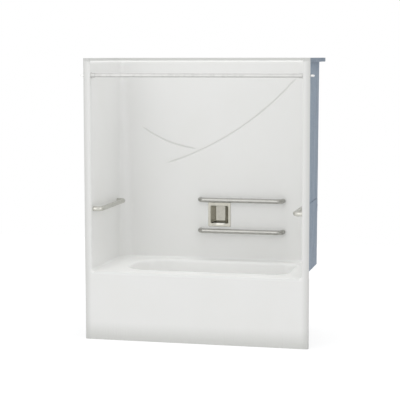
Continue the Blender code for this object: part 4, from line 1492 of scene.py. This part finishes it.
    def fibre_outline(self, side: float, rear: float, radius: float) -> list[Spot]:
        """The back of the walls in plan, evenly divided so that it can be roughened.

        Args:
            side: how far out the side walls are.
            rear: how far back the back wall is.
            radius: the radius of the corners.

        Returns:
            The outline.
        """
        along, round_corner, across = self.fibre_grid
        length = rear - radius - self.fibre_front
        right = [(side, self.fibre_front + length * step / along) for step in range(along)]
        right += arc((side - radius, rear - radius), radius, 0.0, 90.0, round_corner)
        half = [((side - radius) * (1 - 2 * step / across), rear) for step in range(1, across)]
        return right + half + [(-x, y) for x, y in reversed(right)]

    def fibre_rise(self) -> list[Spot]:
        """How far out and how high the walls' fibre is at each of its levels.

        Returns:
            A pair for each level, from the deck up.
        """
        low, straight = self.rim + self.fibre_low, self.ledge - self.ledge_roll
        thick = self.back_offset + self.fibre
        under, tight = self.ledge - thick, self.ledge_roll - thick
        reach = self.lip_face - self.side_face
        bend, steps = self.fibre_bend, self.fibre_bend_steps
        rise = [(0.0, low + (straight - low) * step / self.fibre_levels)
                for step in range(self.fibre_levels + 1)]
        rise += [(tight * (1 - cosine), under - tight * (1 - sine))
                 for sine, cosine in quarter(self.lip_steps, 1)]
        rise += [(tight + (reach - tight - bend) * step / steps, under)
                 for step in range(1, steps + 1)]
        rise += [(reach - bend * (1 - sine), under + bend * (1 - cosine))
                 for sine, cosine in quarter(steps, 1)]
        return rise + [(reach, under + bend + (self.top - under - bend) * step / self.lip_steps)
                       for step in range(1, self.lip_steps + 1)]

    def make_wall_fibre(self) -> None:
        """The sprayed fibre behind the walls, under the ledge and round the lip."""
        thick = self.back_offset + self.fibre
        reach = self.lip_face - self.side_face
        form = bmesh.new()
        rows = []
        for shift, height in self.fibre_rise():
            radius = self.corner_at(height) + thick
            radius += (self.lip_corner + thick - radius) * shift / reach
            out = thick + shift
            outline = self.fibre_outline(self.side_face + out, self.wall_face + out, radius)
            rows.append(lay(form, [(x, y, height) for x, y in outline]))
        skin(form, rows)
        face_towards(form, (0.0, self.wall_face, self.probe_height), BACK)
        self.roughen(form)
        piece = thing_of(form, "wall_fibre", FIBRE)
        self.give_thickness(piece, self.fibre)
        cut_away(piece, [self.dish_hole(self.wall_face)])
        settle(piece, FIBRE, "blue_grey_resin", "surround_backing")

    def roughen(self, form: Form) -> None:
        """Push a fibre surface in a little, unevenly, as it is after rolling out by hand.

        Args:
            form: the mesh being made, with its faces turned outwards.
        """
        form.normal_update()
        for vert in form.verts:
            wave = sum(noise.noise(vert.co * scale) * share for scale, share in self.waves)
            vert.co -= vert.normal * self.fibre_lift * (1.0 + wave)

    def make_tub_fibre(self) -> None:
        """The sprayed fibre under the deck, round the basin and behind the apron."""
        form = bmesh.new()
        side = self.side_face - self.tub_gap
        outline = self.plan(side, self.wall_face, self.front + self.deck_roll, self.corner_low)
        deck = lay(form, [(x, y, self.rim) for x, y in outline])
        bend = [(self.front + self.deck_roll * (1 - sine), self.rim - self.deck_roll * (1 - cosine))
                for sine, cosine in quarter(self.tub_roll_steps, 1)]
        bend.append((self.front, self.tub_gap))
        apron = [lay(form, [(side, y, z), (-side, y, z)]) for y, z in bend]
        skin(form, [[deck[0], deck[-1]], *apron])
        self.build_tub(form, deck)
        face_towards(form, (0.0, 0.0, self.rim - self.basin_depth), UP)
        form.normal_update()
        moves = [(vert, vert.normal * vert.calc_shell_factor() * self.back_offset)
                 for vert in form.verts]
        for vert, move in moves:
            vert.co -= move
        piece = thing_of(form, "tub_fibre", FIBRE, FIBRE)
        self.give_thickness(piece, self.fibre)
        cut_away(piece, self.waste_holes())
        settle(piece, FIBRE, "blue_grey_resin", "tub_backing", degrees=40.0)

    def build(self) -> None:
        """Make the white sheet and the fibre behind it."""
        self.make_skin()
        self.make_wall_fibre()
        self.make_tub_fibre()


# ---------------------------------------------------------------- bars and rod


@dataclass
class GrabBar(Assembly):
    """One grab bar, bent from a single tube."""

    name: str
    foot: Point
    along: Point
    out: Point
    span: float
    gap: float
    finish: Finish
    radius: float = 0.0158
    offset: float = 0.0538
    bend: float = 0.036
    foot_round: float = 0.0008
    foot_rise: float = 0.0012
    sides: int = 40
    bend_steps: int = 14

    def line(self) -> list[Point]:
        """The middle of the bar.

        Returns:
            Points on it, from one foot to the other.
        """
        high, bend, span = self.offset, self.bend, self.span
        first = [(0.0, self.gap), (0.0, self.gap + self.foot_rise)]
        first += arc((bend, high - bend), bend, 180.0, 90.0, self.bend_steps)
        last = arc((span - bend, high - bend), bend, 90.0, 0.0, self.bend_steps)
        last += [(span, self.gap + self.foot_rise), (span, self.gap)]
        along, out, foot = Vector(self.along), Vector(self.out), Vector(self.foot)
        return [foot + along * reach + out * height for reach, height in first + last]

    def build(self) -> None:
        """Make the bar and hang it on the model."""
        line = self.line()
        radii = [self.radius] * len(line)
        radii[0] = radii[-1] = self.radius - self.foot_round
        across = Vector(self.along).cross(Vector(self.out))
        bar = sweep(f"{self.name}_tube", line, radii, self.sides, across)
        settle(bar, self.finish, "brushed_steel", self.name, degrees=50.0)


@dataclass
class GrabBars(UnitPart):
    """The two grab bars of the back wall and the one on each side wall."""

    back_heights: Spot = (0.8897, 0.6707)
    back_foot: float = -0.1269
    back_span: float = 0.593
    side_height: float = 0.880
    side_foot: float = -0.3352
    side_span: float = 0.5494

    def build(self) -> None:
        """Make the four bars."""
        # The back bars take the painted-darker steel, the side bars the painted-lighter one
        for place, height in zip(("upper", "lower"), self.back_heights):
            GrabBar(f"{place}_back_bar", (self.back_foot, self.wall_face, height), RIGHT, FRONT,
                    self.back_span, self.gap, SHADED_BAR_STEEL).build()
        for side, inwards in ((Side.LEFT, RIGHT), (Side.RIGHT, LEFT)):
            foot = (side.value * self.side_face, self.side_foot, self.side_height)
            GrabBar(f"{side.name.lower()}_bar", foot, BACK, inwards,
                    self.side_span, self.gap, LIT_SIDE_BAR_STEEL).build()


@dataclass
class CurtainRod(UnitPart):
    """The curtain rod, the flanges at its ends and the cap nuts outside."""

    radius: float = 0.0127
    half: float = 0.7107
    rod_edge: float = 0.0008
    y: float = -0.350
    z: float = 1.7727
    stud: float = 0.005
    stud_half: float = 0.7705
    # The flange, a cup with a rounded foot
    flange_radius: float = 0.021
    flange_foot: float = 0.0024
    flange_edge: float = 0.0014
    neck_radius: float = 0.0030
    neck_height: float = 0.0070
    nose: float = 0.0155
    flange_length: float = 0.027
    flange_lip: tuple[Spot, ...] = ((0.0, 0.001), (0.0005, 0.0003), (0.001, 0.0))
    edge_arc: tuple[float, float, int] = (30.0, 90.0, 2)
    neck_arc: tuple[float, float, int] = (-105.0, -180.0, 3)
    # The cap nut: pairs of height and share of the radius up its six flats, then its dome
    nut_face: float = 0.7588
    nut_radius: float = 0.0095
    nut_length: float = 0.0257
    nut_bore: float = 0.0118
    nut_flats: tuple[Spot, ...] = ((0.0003, 0.90), (0.0015, 1.0), (0.0094, 1.0), (0.0110, 0.90))
    dome_share: float = 0.80
    dome_degrees: tuple[float, ...] = (0.0, 14.0, 28.0, 42.0, 56.0, 70.0, 82.0)
    steps: int = 48

    def make_rod(self) -> None:
        """The rod, with a stud at each end."""
        half, edge = self.half, self.rod_edge
        right = [(0.0, self.stud_half), (self.stud, self.stud_half), (self.stud, half),
                 (self.radius - edge, half), (self.radius, half - edge)]
        profile = right + [(radius, -height) for radius, height in reversed(right)]
        rod = turn("curtain_rod_tube", profile, (0.0, self.y, self.z), RIGHT, self.steps)
        settle(rod, ROD_STEEL, "brushed_steel", "curtain_rod")

    def make_flange(self, side: Side) -> None:
        """The turned flange at one end of the rod.

        Args:
            side: the end.
        """
        inner, outer, edge = self.radius + self.gap, self.flange_radius, self.flange_edge
        profile = [(inner, self.gap), (outer, self.gap), (outer, self.flange_foot)]
        profile += arc((outer - edge, self.flange_foot), edge, *self.edge_arc)
        profile += arc((self.nose + self.neck_radius, self.neck_height), self.neck_radius,
                       *self.neck_arc)
        profile += [(self.nose - inset, self.flange_length - down)
                    for inset, down in self.flange_lip]
        profile.append((inner, self.flange_length))
        flange = turn(f"{side.name.lower()}_rod_cup", profile,
                      (side.value * self.side_face, self.y, self.z), (-side.value, 0.0, 0.0),
                      self.steps, ring=True)
        settle(flange, ROD_STEEL, "brushed_steel", f"{side.name.lower()}_rod_flange")

    def nut_rings(self) -> list[list[Point]]:
        """Rings round the cap nut.

        Returns:
            The rings, from the bottom of its bore out and up to its dome.
        """
        angles = [2 * math.pi * step / self.steps for step in range(self.steps)]
        flat, sixth = self.nut_radius * math.cos(math.pi / 6), math.pi / 3
        bore, base = self.stud + self.gap, self.nut_flats[0][0]
        rows = [[(bore, a, height) for a in angles] for height in (self.nut_bore, base)]
        for height, share in self.nut_flats:
            to_flat = [flat / math.cos((a + sixth / 2) % sixth - sixth / 2) for a in angles]
            rows.append([(min(self.nut_radius * share, reach), a, height)
                         for a, reach in zip(angles, to_flat)])
        ball = self.nut_radius * self.dome_share
        for swing in (math.radians(degrees) for degrees in self.dome_degrees):
            height = self.nut_length - ball + ball * math.sin(swing)
            rows.append([(ball * math.cos(swing), a, height) for a in angles])
        return [[(radius * math.cos(a), radius * math.sin(a), height) for radius, a, height in row]
                for row in rows]

    def make_cap(self, side: Side) -> None:
        """The acorn nut at one end: six flats, a chamfered washer face and a dome.

        Args:
            side: the end.
        """
        form = bmesh.new()
        origin = Vector((side.value * self.nut_face, self.y, self.z))
        turned = Vector((side.value, 0.0, 0.0)).to_track_quat("Z", "Y").to_matrix()
        rows = [lay(form, [origin + turned @ Vector(point) for point in ring])
                for ring in self.nut_rings()]
        skin(form, rows, ring=True, ends=True)
        cap = closed_thing(form, f"{side.name.lower()}_acorn_nut")
        settle(cap, CAP_STEEL, "brushed_steel", f"{side.name.lower()}_cap_nut", degrees=24.0)

    def build(self) -> None:
        """Make the rod, both flanges and both nuts."""
        self.make_rod()
        for side in Side:
            self.make_flange(side)
            self.make_cap(side)


# ---------------------------------------------------------------- soap dish


@dataclass
class SoapDish(UnitPart):
    """The folded metal soap dish: a flat frame, a tapered pan and a curved lip at its foot."""

    middle: Spot = (0.00865, 0.7817)
    size: Spot = (0.1625, 0.170)
    opening: Spot = (0.126, 0.124)
    back: Spot = (0.066, 0.104)
    back_rise: float = 0.006
    back_inset: float = 0.006
    depth: float = 0.040
    proud: float = 0.004
    sheet: float = 0.0015
    corner: float = 0.006
    corner_steps: int = 7
    # The frame's outer edge is rolled, and the pan is folded in from it
    roll: float = 0.0016
    roll_degrees: tuple[float, ...] = (0.0, 30.0, 60.0, 90.0)
    fold: float = 0.0030
    fold_degrees: tuple[float, ...] = (0.0, 22.0, 45.0, 68.0, 88.0)
    pan_shares: tuple[float, ...] = (0.12, 0.5, 0.86, 0.95, 1.0)
    # The bowed lip, and the half-round along its top
    lip_width: float = 0.082
    lip_height: float = 0.014
    lip_bow: float = 0.013
    lip_rise: float = 0.004
    lip_steps: int = 28
    lip_round: Spot = (0.00075, 0.0010)
    lip_degrees: tuple[float, ...] = (30.0, 60.0, 90.0, 120.0, 150.0, 180.0)

    def ring(self, size: Iterable[float], corner: float, y: float,
             rise: float = 0.0) -> list[Point]:
        """A rounded rectangle standing at one depth.

        Args:
            size: its width and height.
            corner: its corner radius.
            y: its depth.
            rise: how far it sits above the middle.

        Returns:
            Its points.
        """
        half_wide, half_tall = (length / 2 - corner for length in size)
        points = []
        for sx, sz, first in ((1, -1, -90.0), (1, 1, 0.0), (-1, 1, 90.0), (-1, -1, 180.0)):
            spot = (self.middle[0] + sx * half_wide, self.middle[1] + rise + sz * half_tall)
            points += arc(spot, corner, first, first + 90.0, self.corner_steps)
        return [(x, y, z) for x, z in points]

    def pan_rings(self, face: float, deep: float) -> list[list[Point]]:
        """Rings of the frame and the pan.

        Args:
            face: the depth of the frame's back.
            deep: the depth of the pan's back.

        Returns:
            The rings, from the frame's outer edge to the middle of the pan's back.
        """
        front = face - self.proud
        rings = [self.ring(self.size, self.corner, face)]
        for a in map(math.radians, self.roll_degrees):
            inset, deep_in = self.roll * (1 - math.cos(a)), self.roll * (1 - math.sin(a))
            rings.append(self.ring((length - 2 * inset for length in self.size),
                                   self.corner - inset, front + deep_in))
        for a in map(math.radians, self.fold_degrees):
            inset = self.fold * (1 - math.sin(a))
            rings.append(self.ring((length + 2 * inset for length in self.opening),
                                   self.corner, front + self.fold * (1 - math.cos(a))))
        start = front + self.fold
        for share in self.pan_shares:
            size = (front_length + (back_length - front_length) * share
                    for front_length, back_length in zip(self.opening, self.back))
            rings.append(self.ring(size, self.corner, start + (deep - start) * share,
                                   self.back_rise * share))
        inner = (length - self.back_inset for length in self.back)
        return rings + [self.ring(inner, self.corner, deep, self.back_rise)]

    def make_pan(self) -> None:
        """The frame and the pan, folded from one sheet."""
        deep = self.wall_face + self.depth
        form = bmesh.new()
        rows = [lay(form, ring) for ring in self.pan_rings(self.wall_face - self.gap, deep)]
        skin(form, rows, ring=True)
        form.faces.new(rows[-1])
        face_towards(form, (self.middle[0], deep, self.middle[1]), FRONT)
        pan = thing_of(form, "soap_pan")
        thicken(pan, self.sheet)
        settle(pan, DISH_STEEL, "satin_steel", "soap_dish", degrees=38.0)

    def make_lip(self) -> None:
        """The bowed strip across the foot, with its top edge rolled over."""
        half, bow = self.lip_width / 2, self.lip_bow
        radius = (half * half + bow * bow) / (2 * bow)
        swing = math.degrees(math.asin(half / radius))
        seat = self.wall_face - self.proud - 2 * self.gap
        low = self.middle[1] - self.opening[1] / 2 - self.lip_height + self.lip_rise
        line = arc((self.middle[0], seat - bow + radius), radius, -90.0 - swing, -90.0 + swing,
                   self.lip_steps)
        deep, tall = self.lip_round
        straight = self.lip_height - tall
        section = [(0.0, 0.0), (0.0, straight)]
        section += [(deep * (1 - math.cos(a)), straight + tall * math.sin(a))
                    for a in map(math.radians, self.lip_degrees)]
        section += [(self.sheet, 0.0)]
        form = bmesh.new()
        rows = []
        for x, y in line:
            towards = (self.middle[0] - x) / half
            rows.append(lay(form, [(x + towards * depth, min(seat, y + depth), low + height)
                                   for depth, height in section]))
        skin(form, rows, ring=True, ends=True)
        lip = closed_thing(form, "soap_lip")
        # The lip takes the painted-lighter copy of the dish steel
        settle(lip, LIT_LIP_STEEL, "satin_steel", "soap_dish_lip", degrees=40.0)

    def build(self) -> None:
        """Make the pan and its lip."""
        self.make_pan()
        self.make_lip()


# ---------------------------------------------------------------- waste, overflow and trip lever


@dataclass
class DrainRim(UnitPart):
    """The drain's dished flange with a cross of bars in its throat."""

    floor: float = 0.115
    flange_radius: float = 0.036
    body_radius: float = 0.0205
    bore: float = 0.0175
    body_length: float = 0.032
    # Pairs of how far in from the flange's edge, or out from the bore, and how high
    flange: tuple[Spot, ...] = ((0.0006, 0.0), (0.0, 0.0005), (0.0006, 0.0012), (0.004, 0.0020),
                                (0.007, 0.0025), (0.010, 0.0023))
    throat: tuple[Spot, ...] = ((0.006, 0.001125), (0.0022, -0.0008), (0.0006, -0.0030),
                                (0.0, -0.0060))
    # The bars across: width and depth, how far down they lie and how far they run into the wall
    bar: Spot = (0.0035, 0.004)
    bar_drop: float = 0.010
    bar_overlap: float = 0.001
    bar_round: float = 0.0006
    steps: int = 64

    def build(self) -> None:
        """Make the drain."""
        base = self.floor + self.gap
        profile = [(self.flange_radius - inset, rise) for inset, rise in self.flange]
        profile += [(self.bore + out, rise) for out, rise in self.throat]
        profile += [(self.bore, -self.body_length), (self.body_radius, -self.body_length),
                    (self.body_radius, 0.0)]
        drain = turn("drain_rim", profile, (*self.drain, base), UP, self.steps, ring=True)
        x, y = self.drain
        wide, deep = self.bar
        high, reach = base - self.bar_drop, self.bore + self.bar_overlap
        ribs = []
        for number, (rx, ry) in enumerate(((reach, wide / 2), (wide / 2, reach))):
            rib = block(f"drain_rib_{number}", (x - rx, y - ry, high - deep),
                        (x + rx, y + ry, high))
            soften(rib, self.bar_round)
            ribs.append(rib)
        weld_on(drain, ribs)
        settle(drain, CHROME, "chrome", "drain_flange", degrees=35.0)


@dataclass
class OverflowCover(UnitPart):
    """The domed overflow plate with its slot, the ears behind it and its two screws."""

    seat: float = 0.5837
    radius: float = 0.040
    thickness: float = 0.003
    # Pairs of how far in from the plate's edge and how high
    dome: tuple[Spot, ...] = ((0.0004, 0.0), (0.0, 0.0005), (0.0010, 0.0012), (0.0040, 0.0024),
                              (0.0100, 0.00285), (0.020, 0.003))
    slot: Spot = (0.009, 0.034)
    slot_round: float = 0.0030
    cut_reach: float = 0.02
    screw_spacing: float = 0.0232
    screw_head: float = 0.0042
    screw_rise: float = 0.002
    screw_radius: float = 0.0019
    screw_tip: float = 0.001
    screw_tip_share: float = 0.6
    head_degrees: tuple[float, ...] = (20.0, 40.0, 60.0, 78.0, 90.0)
    notch_depth: float = 0.0010
    notch_half: float = 0.00045
    steps: int = 64
    screw_steps: int = 32
    pin_steps: int = 24

    def cutters(self) -> list[Thing]:
        """What the lever's slot and the screws' holes are cut with.

        Returns:
            A block and two round bars.
        """
        y, z, reach = self.drain[1], self.overflow_height, self.cut_reach
        wide, tall = self.slot
        slot = block("slot_cut", (self.seat - reach, y - wide / 2, z - tall / 2),
                     (self.seat + reach, y + wide / 2, z + tall / 2))
        soften(slot, self.slot_round)
        return [slot] + [drum(f"screw_cut_{side}", self.screw_radius + self.gap, reach / 2,
                              (self.seat, y, z + side * self.screw_spacing), RIGHT, self.pin_steps)
                         for side in (1, -1)]

    def ears(self) -> list[Thing]:
        """The two ears behind the slot and the pin between them.

        Returns:
            The three objects.
        """
        y, z, half = self.drain[1], self.overflow_height, self.slot[0] / 2
        lug = half - self.lever_width / 2
        made = []
        for side in (-1, 1):
            near, far = sorted((y + side * (half + lug), y + side * (half + lug * 2)))
            made.append(block(f"ear_{side}",
                              (self.seat - self.thickness / 2, near, z - self.lever_width),
                              (self.pivot_x + self.lever_width, far, z + self.lever_width)))
        pivot = (self.pivot_x, y, z)
        return made + [drum("hinge_pin", self.hinge_pin, half + lug * 3 / 2, pivot, BACK,
                            self.pin_steps)]

    def make_plate(self) -> None:
        """The plate."""
        profile = [(0.0, 0.0), *((self.radius - inset, rise) for inset, rise in self.dome),
                   (0.0, self.thickness)]
        middle = (self.seat, self.drain[1], self.overflow_height)
        plate = turn("overflow_cover", profile, middle, LEFT, self.steps)
        cut_away(plate, self.cutters())
        weld_on(plate, self.ears())
        settle(plate, CHROME, "chrome", "overflow_plate", degrees=35.0)

    def make_screw(self, name: str, side: int) -> None:
        """One oval-headed plate screw with a driver slot.

        Args:
            name: the node that it stands for.
            side: 1 above the lever, -1 below.
        """
        low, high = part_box(name)
        head, rise, shank = self.screw_head, self.screw_rise, self.screw_radius
        tail = high.x - low.x - rise
        profile = [(0.0, rise)]
        profile += [(head * math.sin(a), rise * math.cos(a))
                    for a in map(math.radians, self.head_degrees)]
        profile += [(shank, 0.0), (shank, self.screw_tip - tail),
                    (shank * self.screw_tip_share, -tail), (0.0, -tail)]
        y, z = self.drain[1], self.overflow_height + side * self.screw_spacing
        screw = turn(name.replace("screw", "driver_screw"), profile, (low.x + rise, y, z), LEFT,
                     self.screw_steps)
        notch = block(f"notch_{side}", (low.x - self.notch_depth, y - head, z - self.notch_half),
                      (low.x + self.notch_depth, y + head, z + self.notch_half))
        cut_away(screw, [notch])
        settle(screw, CHROME, "chrome", name, degrees=30.0)

    def build(self) -> None:
        """Make the plate and both screws."""
        self.make_plate()
        self.make_screw("upper_plate_screw", 1)
        self.make_screw("lower_plate_screw", -1)


@dataclass
class TripLever(UnitPart):
    """The trip lever: a blade with a rounded thumb end, a hub and a forked tail."""

    thickness: float = 0.004
    out: float = 0.0475
    arm: float = 0.028
    tip: float = 0.003
    edge: float = 0.0007
    thumb: float = 0.006
    drum_edge: float = 0.0006
    drum_inset: float = 0.0002
    degrees: float = 30.0
    fork_gap: float = 0.0025
    fork_depth: float = 0.008
    fork_pin: float = 0.0012
    bore_half: float = 0.01
    # Where the blade is divided, as shares of its way to the thumb end and of its arm
    divisions: Spot = (0.5, 0.7)
    drum_steps: int = 40
    bore_steps: int = 32
    pin_steps: int = 24

    def blade(self) -> Thing:
        """The flat of the lever, level.

        Returns:
            The object, from thumb end to tail.
        """
        half, thin = self.lever_width / 2, self.thickness / 2
        form = bmesh.new()
        outer, inner = self.divisions
        rows = [lay(form, [(x, -half, -thin), (x, half, -thin), (x, half, thin), (x, -half, thin)])
                for x in (-self.out, -self.out * outer, 0.0, self.arm * inner, self.arm + self.tip)]
        skin(form, rows, ring=True, ends=True)
        blade = closed_thing(form, "trip_lever_blade")
        soften(blade, self.edge)
        return blade

    def rounded_drum(self, name: str, radius: float, x: float) -> Thing:
        """A short drum with softened rims, lying across the lever.

        Args:
            name: the object's name.
            radius: its radius.
            x: where it lies.

        Returns:
            The object.
        """
        half, edge = self.lever_width / 2 - self.drum_inset, self.drum_edge
        profile = [(0.0, half), (radius - edge, half), (radius, half - edge), (radius, edge - half),
                   (radius - edge, -half), (0.0, -half)]
        return turn(name, profile, (x, 0.0, 0.0), BACK, self.drum_steps)

    def build(self) -> None:
        """Make the lever, level, and then tilt it to where it rests."""
        lever = self.blade()
        weld_on(lever, [self.rounded_drum("thumb", self.thumb, -self.out),
                        self.rounded_drum("hub", self.lever_width * 2 / 3, 0.0)])
        bore = drum("bore_cut", self.hinge_pin + self.gap, self.bore_half, (0.0, 0.0, 0.0), BACK,
                    self.bore_steps)
        fork = block("fork_cut", (self.arm - self.fork_depth, -self.fork_gap / 2, -self.thickness),
                     (self.arm + self.fork_depth, self.fork_gap / 2, self.thickness))
        cut_away(lever, [bore, fork])
        weld_on(lever, [drum("fork_pin_part", self.fork_pin, self.lever_width / 2 - self.drum_inset,
                             (self.arm, 0.0, 0.0), BACK, self.pin_steps)])
        tilt = Matrix.Translation((self.pivot_x, self.drain[1], self.overflow_height))
        lever.data.transform(tilt @ Matrix.Rotation(-math.radians(self.degrees), 4, "Y"))
        settle(lever, CHROME, "chrome", "trip_lever", body="trip_lever", degrees=35.0)


# ---------------------------------------------------------------- nodes kept from the model


@dataclass
class KeptNodes(Assembly):
    """Nodes of the model whose own shape shows: each gets its finish and soft shading."""

    finishes: dict[Finish, tuple[str, ...]] = field(default_factory=lambda: {
        BOARD_WOOD: ("back_wall_board", "base_board", "apron_stiffener"),
        RUNNER_WOOD: ("floor_runner_1", "floor_runner_2", "floor_runner_3"),
        FIBRE: ("left_rod_block", "right_rod_block", "left_wall_plate", "right_wall_plate",
                "left_bar_first_nut", "left_bar_last_nut", "right_bar_first_nut",
                "right_bar_last_nut"),
        ZINC: ("upper_back_bar_first_nut", "upper_back_bar_last_nut",
               "lower_back_bar_first_nut", "lower_back_bar_last_nut"),
        BRASS: ("waste_pipe", "overflow_tube", "shoe_nut", "tee_side_nut", "tee_top_nut",
                "head_nut", "linkage_rod", "plunger"),
        BLACK_PLASTIC: ("shoe_elbow", "waste_tee", "overflow_head"),
        RUBBER: ("drain_gasket", "overflow_gasket"),
    })
    wear: float = 0.0006
    sharp: float = math.radians(40.0)

    def dress(self, name: str, finish: Finish) -> None:
        """Give one node its finish and soft edges.

        Args:
            name: the node.
            finish: its finish.
        """
        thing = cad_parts[name]
        for slot in thing.material_slots:
            slot.material = PAINTS.material(finish)
        if not thing.material_slots:
            thing.data.materials.append(PAINTS.material(finish))
        modify(thing, "worn_edges", "BEVEL", width=self.wear, segments=2, limit_method="ANGLE",
               angle_limit=self.sharp)
        thing.data.shade_smooth()
        thing.data.set_sharp_from_angle(angle=self.sharp)
        log.info("%s: kept from the model, %s", name, finish.name)

    def build(self) -> None:
        """Dress every kept node."""
        for finish, names in self.finishes.items():
            for name in names:
                self.dress(name, finish)


# ---------------------------------------------------------------- studio


@dataclass(frozen=True)
class Lamp(Assembly):
    """One square soft lamp: where it hangs, its side, its power and whether metal mirrors it."""

    name: str
    place: Point
    size: float
    watts: float
    mirrored: bool = True
    target: Point = (0.0, 0.0, 0.9)

    def build(self) -> None:
        """Hang the lamp and aim it."""
        light = bpy.data.lights.new(self.name, "AREA")
        light.size = self.size
        light.energy = self.watts
        lamp = bpy.data.objects.new(self.name, light)
        lamp.location = self.place
        lamp.visible_glossy = self.mirrored
        aim = Vector(self.target) - Vector(self.place)
        lamp.rotation_euler = aim.to_track_quat("-Z", "Y").to_euler()
        bpy.context.scene.collection.objects.link(lamp)


@dataclass
class Studio(Assembly):
    """The pale floor, the white surround, the lamps and the camera."""

    lamps: tuple[Lamp, ...] = (Lamp("key_lamp", (-2.8, -6.8, 3.4), 6.0, 95.0),
                               Lamp("fill_lamp", (6.0, -2.8, 2.4), 3.6, 36.0),
                               Lamp("top_lamp", (0.0, 0.1, 6.0), 2.0, 92.0, mirrored=False))
    sky: float = 0.75
    floor_colour: Colour = (0.76, 0.76, 0.76)
    floor_corners: tuple[Spot, ...] = ((-5.0, -6.0), (5.0, -6.0), (5.0, 4.5), (-5.0, 4.5))
    floor_drop: float = 0.0004
    paper_glow: float = 1.20
    paper_share: float = 0.70
    focal: float = 120.94
    place: Point = (2.0847, -8.9121, 1.8995)
    pan_degrees: float = 13.489
    tilt_degrees: float = 6.128
    roll_degrees: float = -0.09
    sensor: float = 36.0
    farthest: float = 200.0

    @staticmethod
    def seen_rays(graph: Graph) -> Wire:
        """A mask of the rays that look at a thing, which parts them from those that light it.

        Args:
            graph: the nodes that it is for.

        Returns:
            1 for what the camera, a mirror or glass looks at, and else 0.
        """
        seen, glossy, through = (graph.node("ShaderNodeLightPath", output=f"Is {kind} Ray")
                                 for kind in ("Camera", "Glossy", "Transmission"))
        return seen.most(glossy).most(through)

    def make_floor(self) -> None:
        """A wide floor that keeps the object's soft shadow and is otherwise white."""
        form = bmesh.new()
        form.faces.new(lay(form, [(x, y, 0.0) for x, y in self.floor_corners]))
        floor = thing_of(form, "studio_floor")
        graph = Graph("studio_paper")
        paper = graph.node("ShaderNodeBsdfDiffuse", None, {"Color": self.floor_colour})
        glow = graph.node("ShaderNodeEmission", None, {"Strength": self.paper_glow})
        share = self.seen_rays(graph) * self.paper_share
        mixed = graph.node("ShaderNodeMixShader", None, {0: share, 1: paper, 2: glow})
        floor.data.materials.append(graph.done(mixed))
        floor.location.z = -self.floor_drop

    def make_sky(self) -> None:
        """An even world: white where it is seen, the plain light level where it lights."""
        graph = Graph("studio_sky", bpy.data.worlds)
        lit, white = (graph.node("ShaderNodeBackground", None,
                                 {"Color": (1.0, 1.0, 1.0), "Strength": strength})
                      for strength in (self.sky, 1.0))
        seen = self.seen_rays(graph)
        sky = graph.node("ShaderNodeMixShader", None, {0: seen, 1: lit, 2: white})
        bpy.context.scene.world = graph.done(sky)

    def make_camera(self) -> None:
        """The camera of the photograph."""
        pan, tilt = math.radians(self.pan_degrees), math.radians(self.tilt_degrees)
        ahead = Vector((-math.sin(pan) * math.cos(tilt), math.cos(pan) * math.cos(tilt),
                        -math.sin(tilt)))
        data = bpy.data.cameras.new("camera")
        data.sensor_width = self.sensor
        data.lens = self.focal
        data.clip_end = self.farthest
        camera = bpy.data.objects.new("camera", data)
        turned = ahead.to_track_quat("-Z", "Y").to_matrix()
        turned @= Matrix.Rotation(math.radians(self.roll_degrees), 3, "Z")
        camera.matrix_world = Matrix.Translation(self.place) @ turned.to_4x4()
        bpy.context.scene.collection.objects.link(camera)
        bpy.context.scene.camera = camera

    def build(self) -> None:
        """Set the stage, the light and the camera."""
        bpy.context.scene.view_settings.view_transform = "Standard"
        self.make_floor()
        self.make_sky()
        for lamp in self.lamps:
            lamp.build()
        self.make_camera()


def main() -> None:
    """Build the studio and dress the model."""
    logging.basicConfig(level=logging.INFO, format="%(message)s")
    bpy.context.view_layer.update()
    assemblies: tuple[Assembly, ...] = (
        Studio(),
        Moulding(),
        GrabBars(),
        CurtainRod(),
        SoapDish(),
        DrainRim(),
        OverflowCover(),
        TripLever(),
        KeptNodes(),
    )
    for assembly in assemblies:
        log.info("%s", type(assembly).__name__)
        assembly.build()


if __name__ == "__main__":
    main()
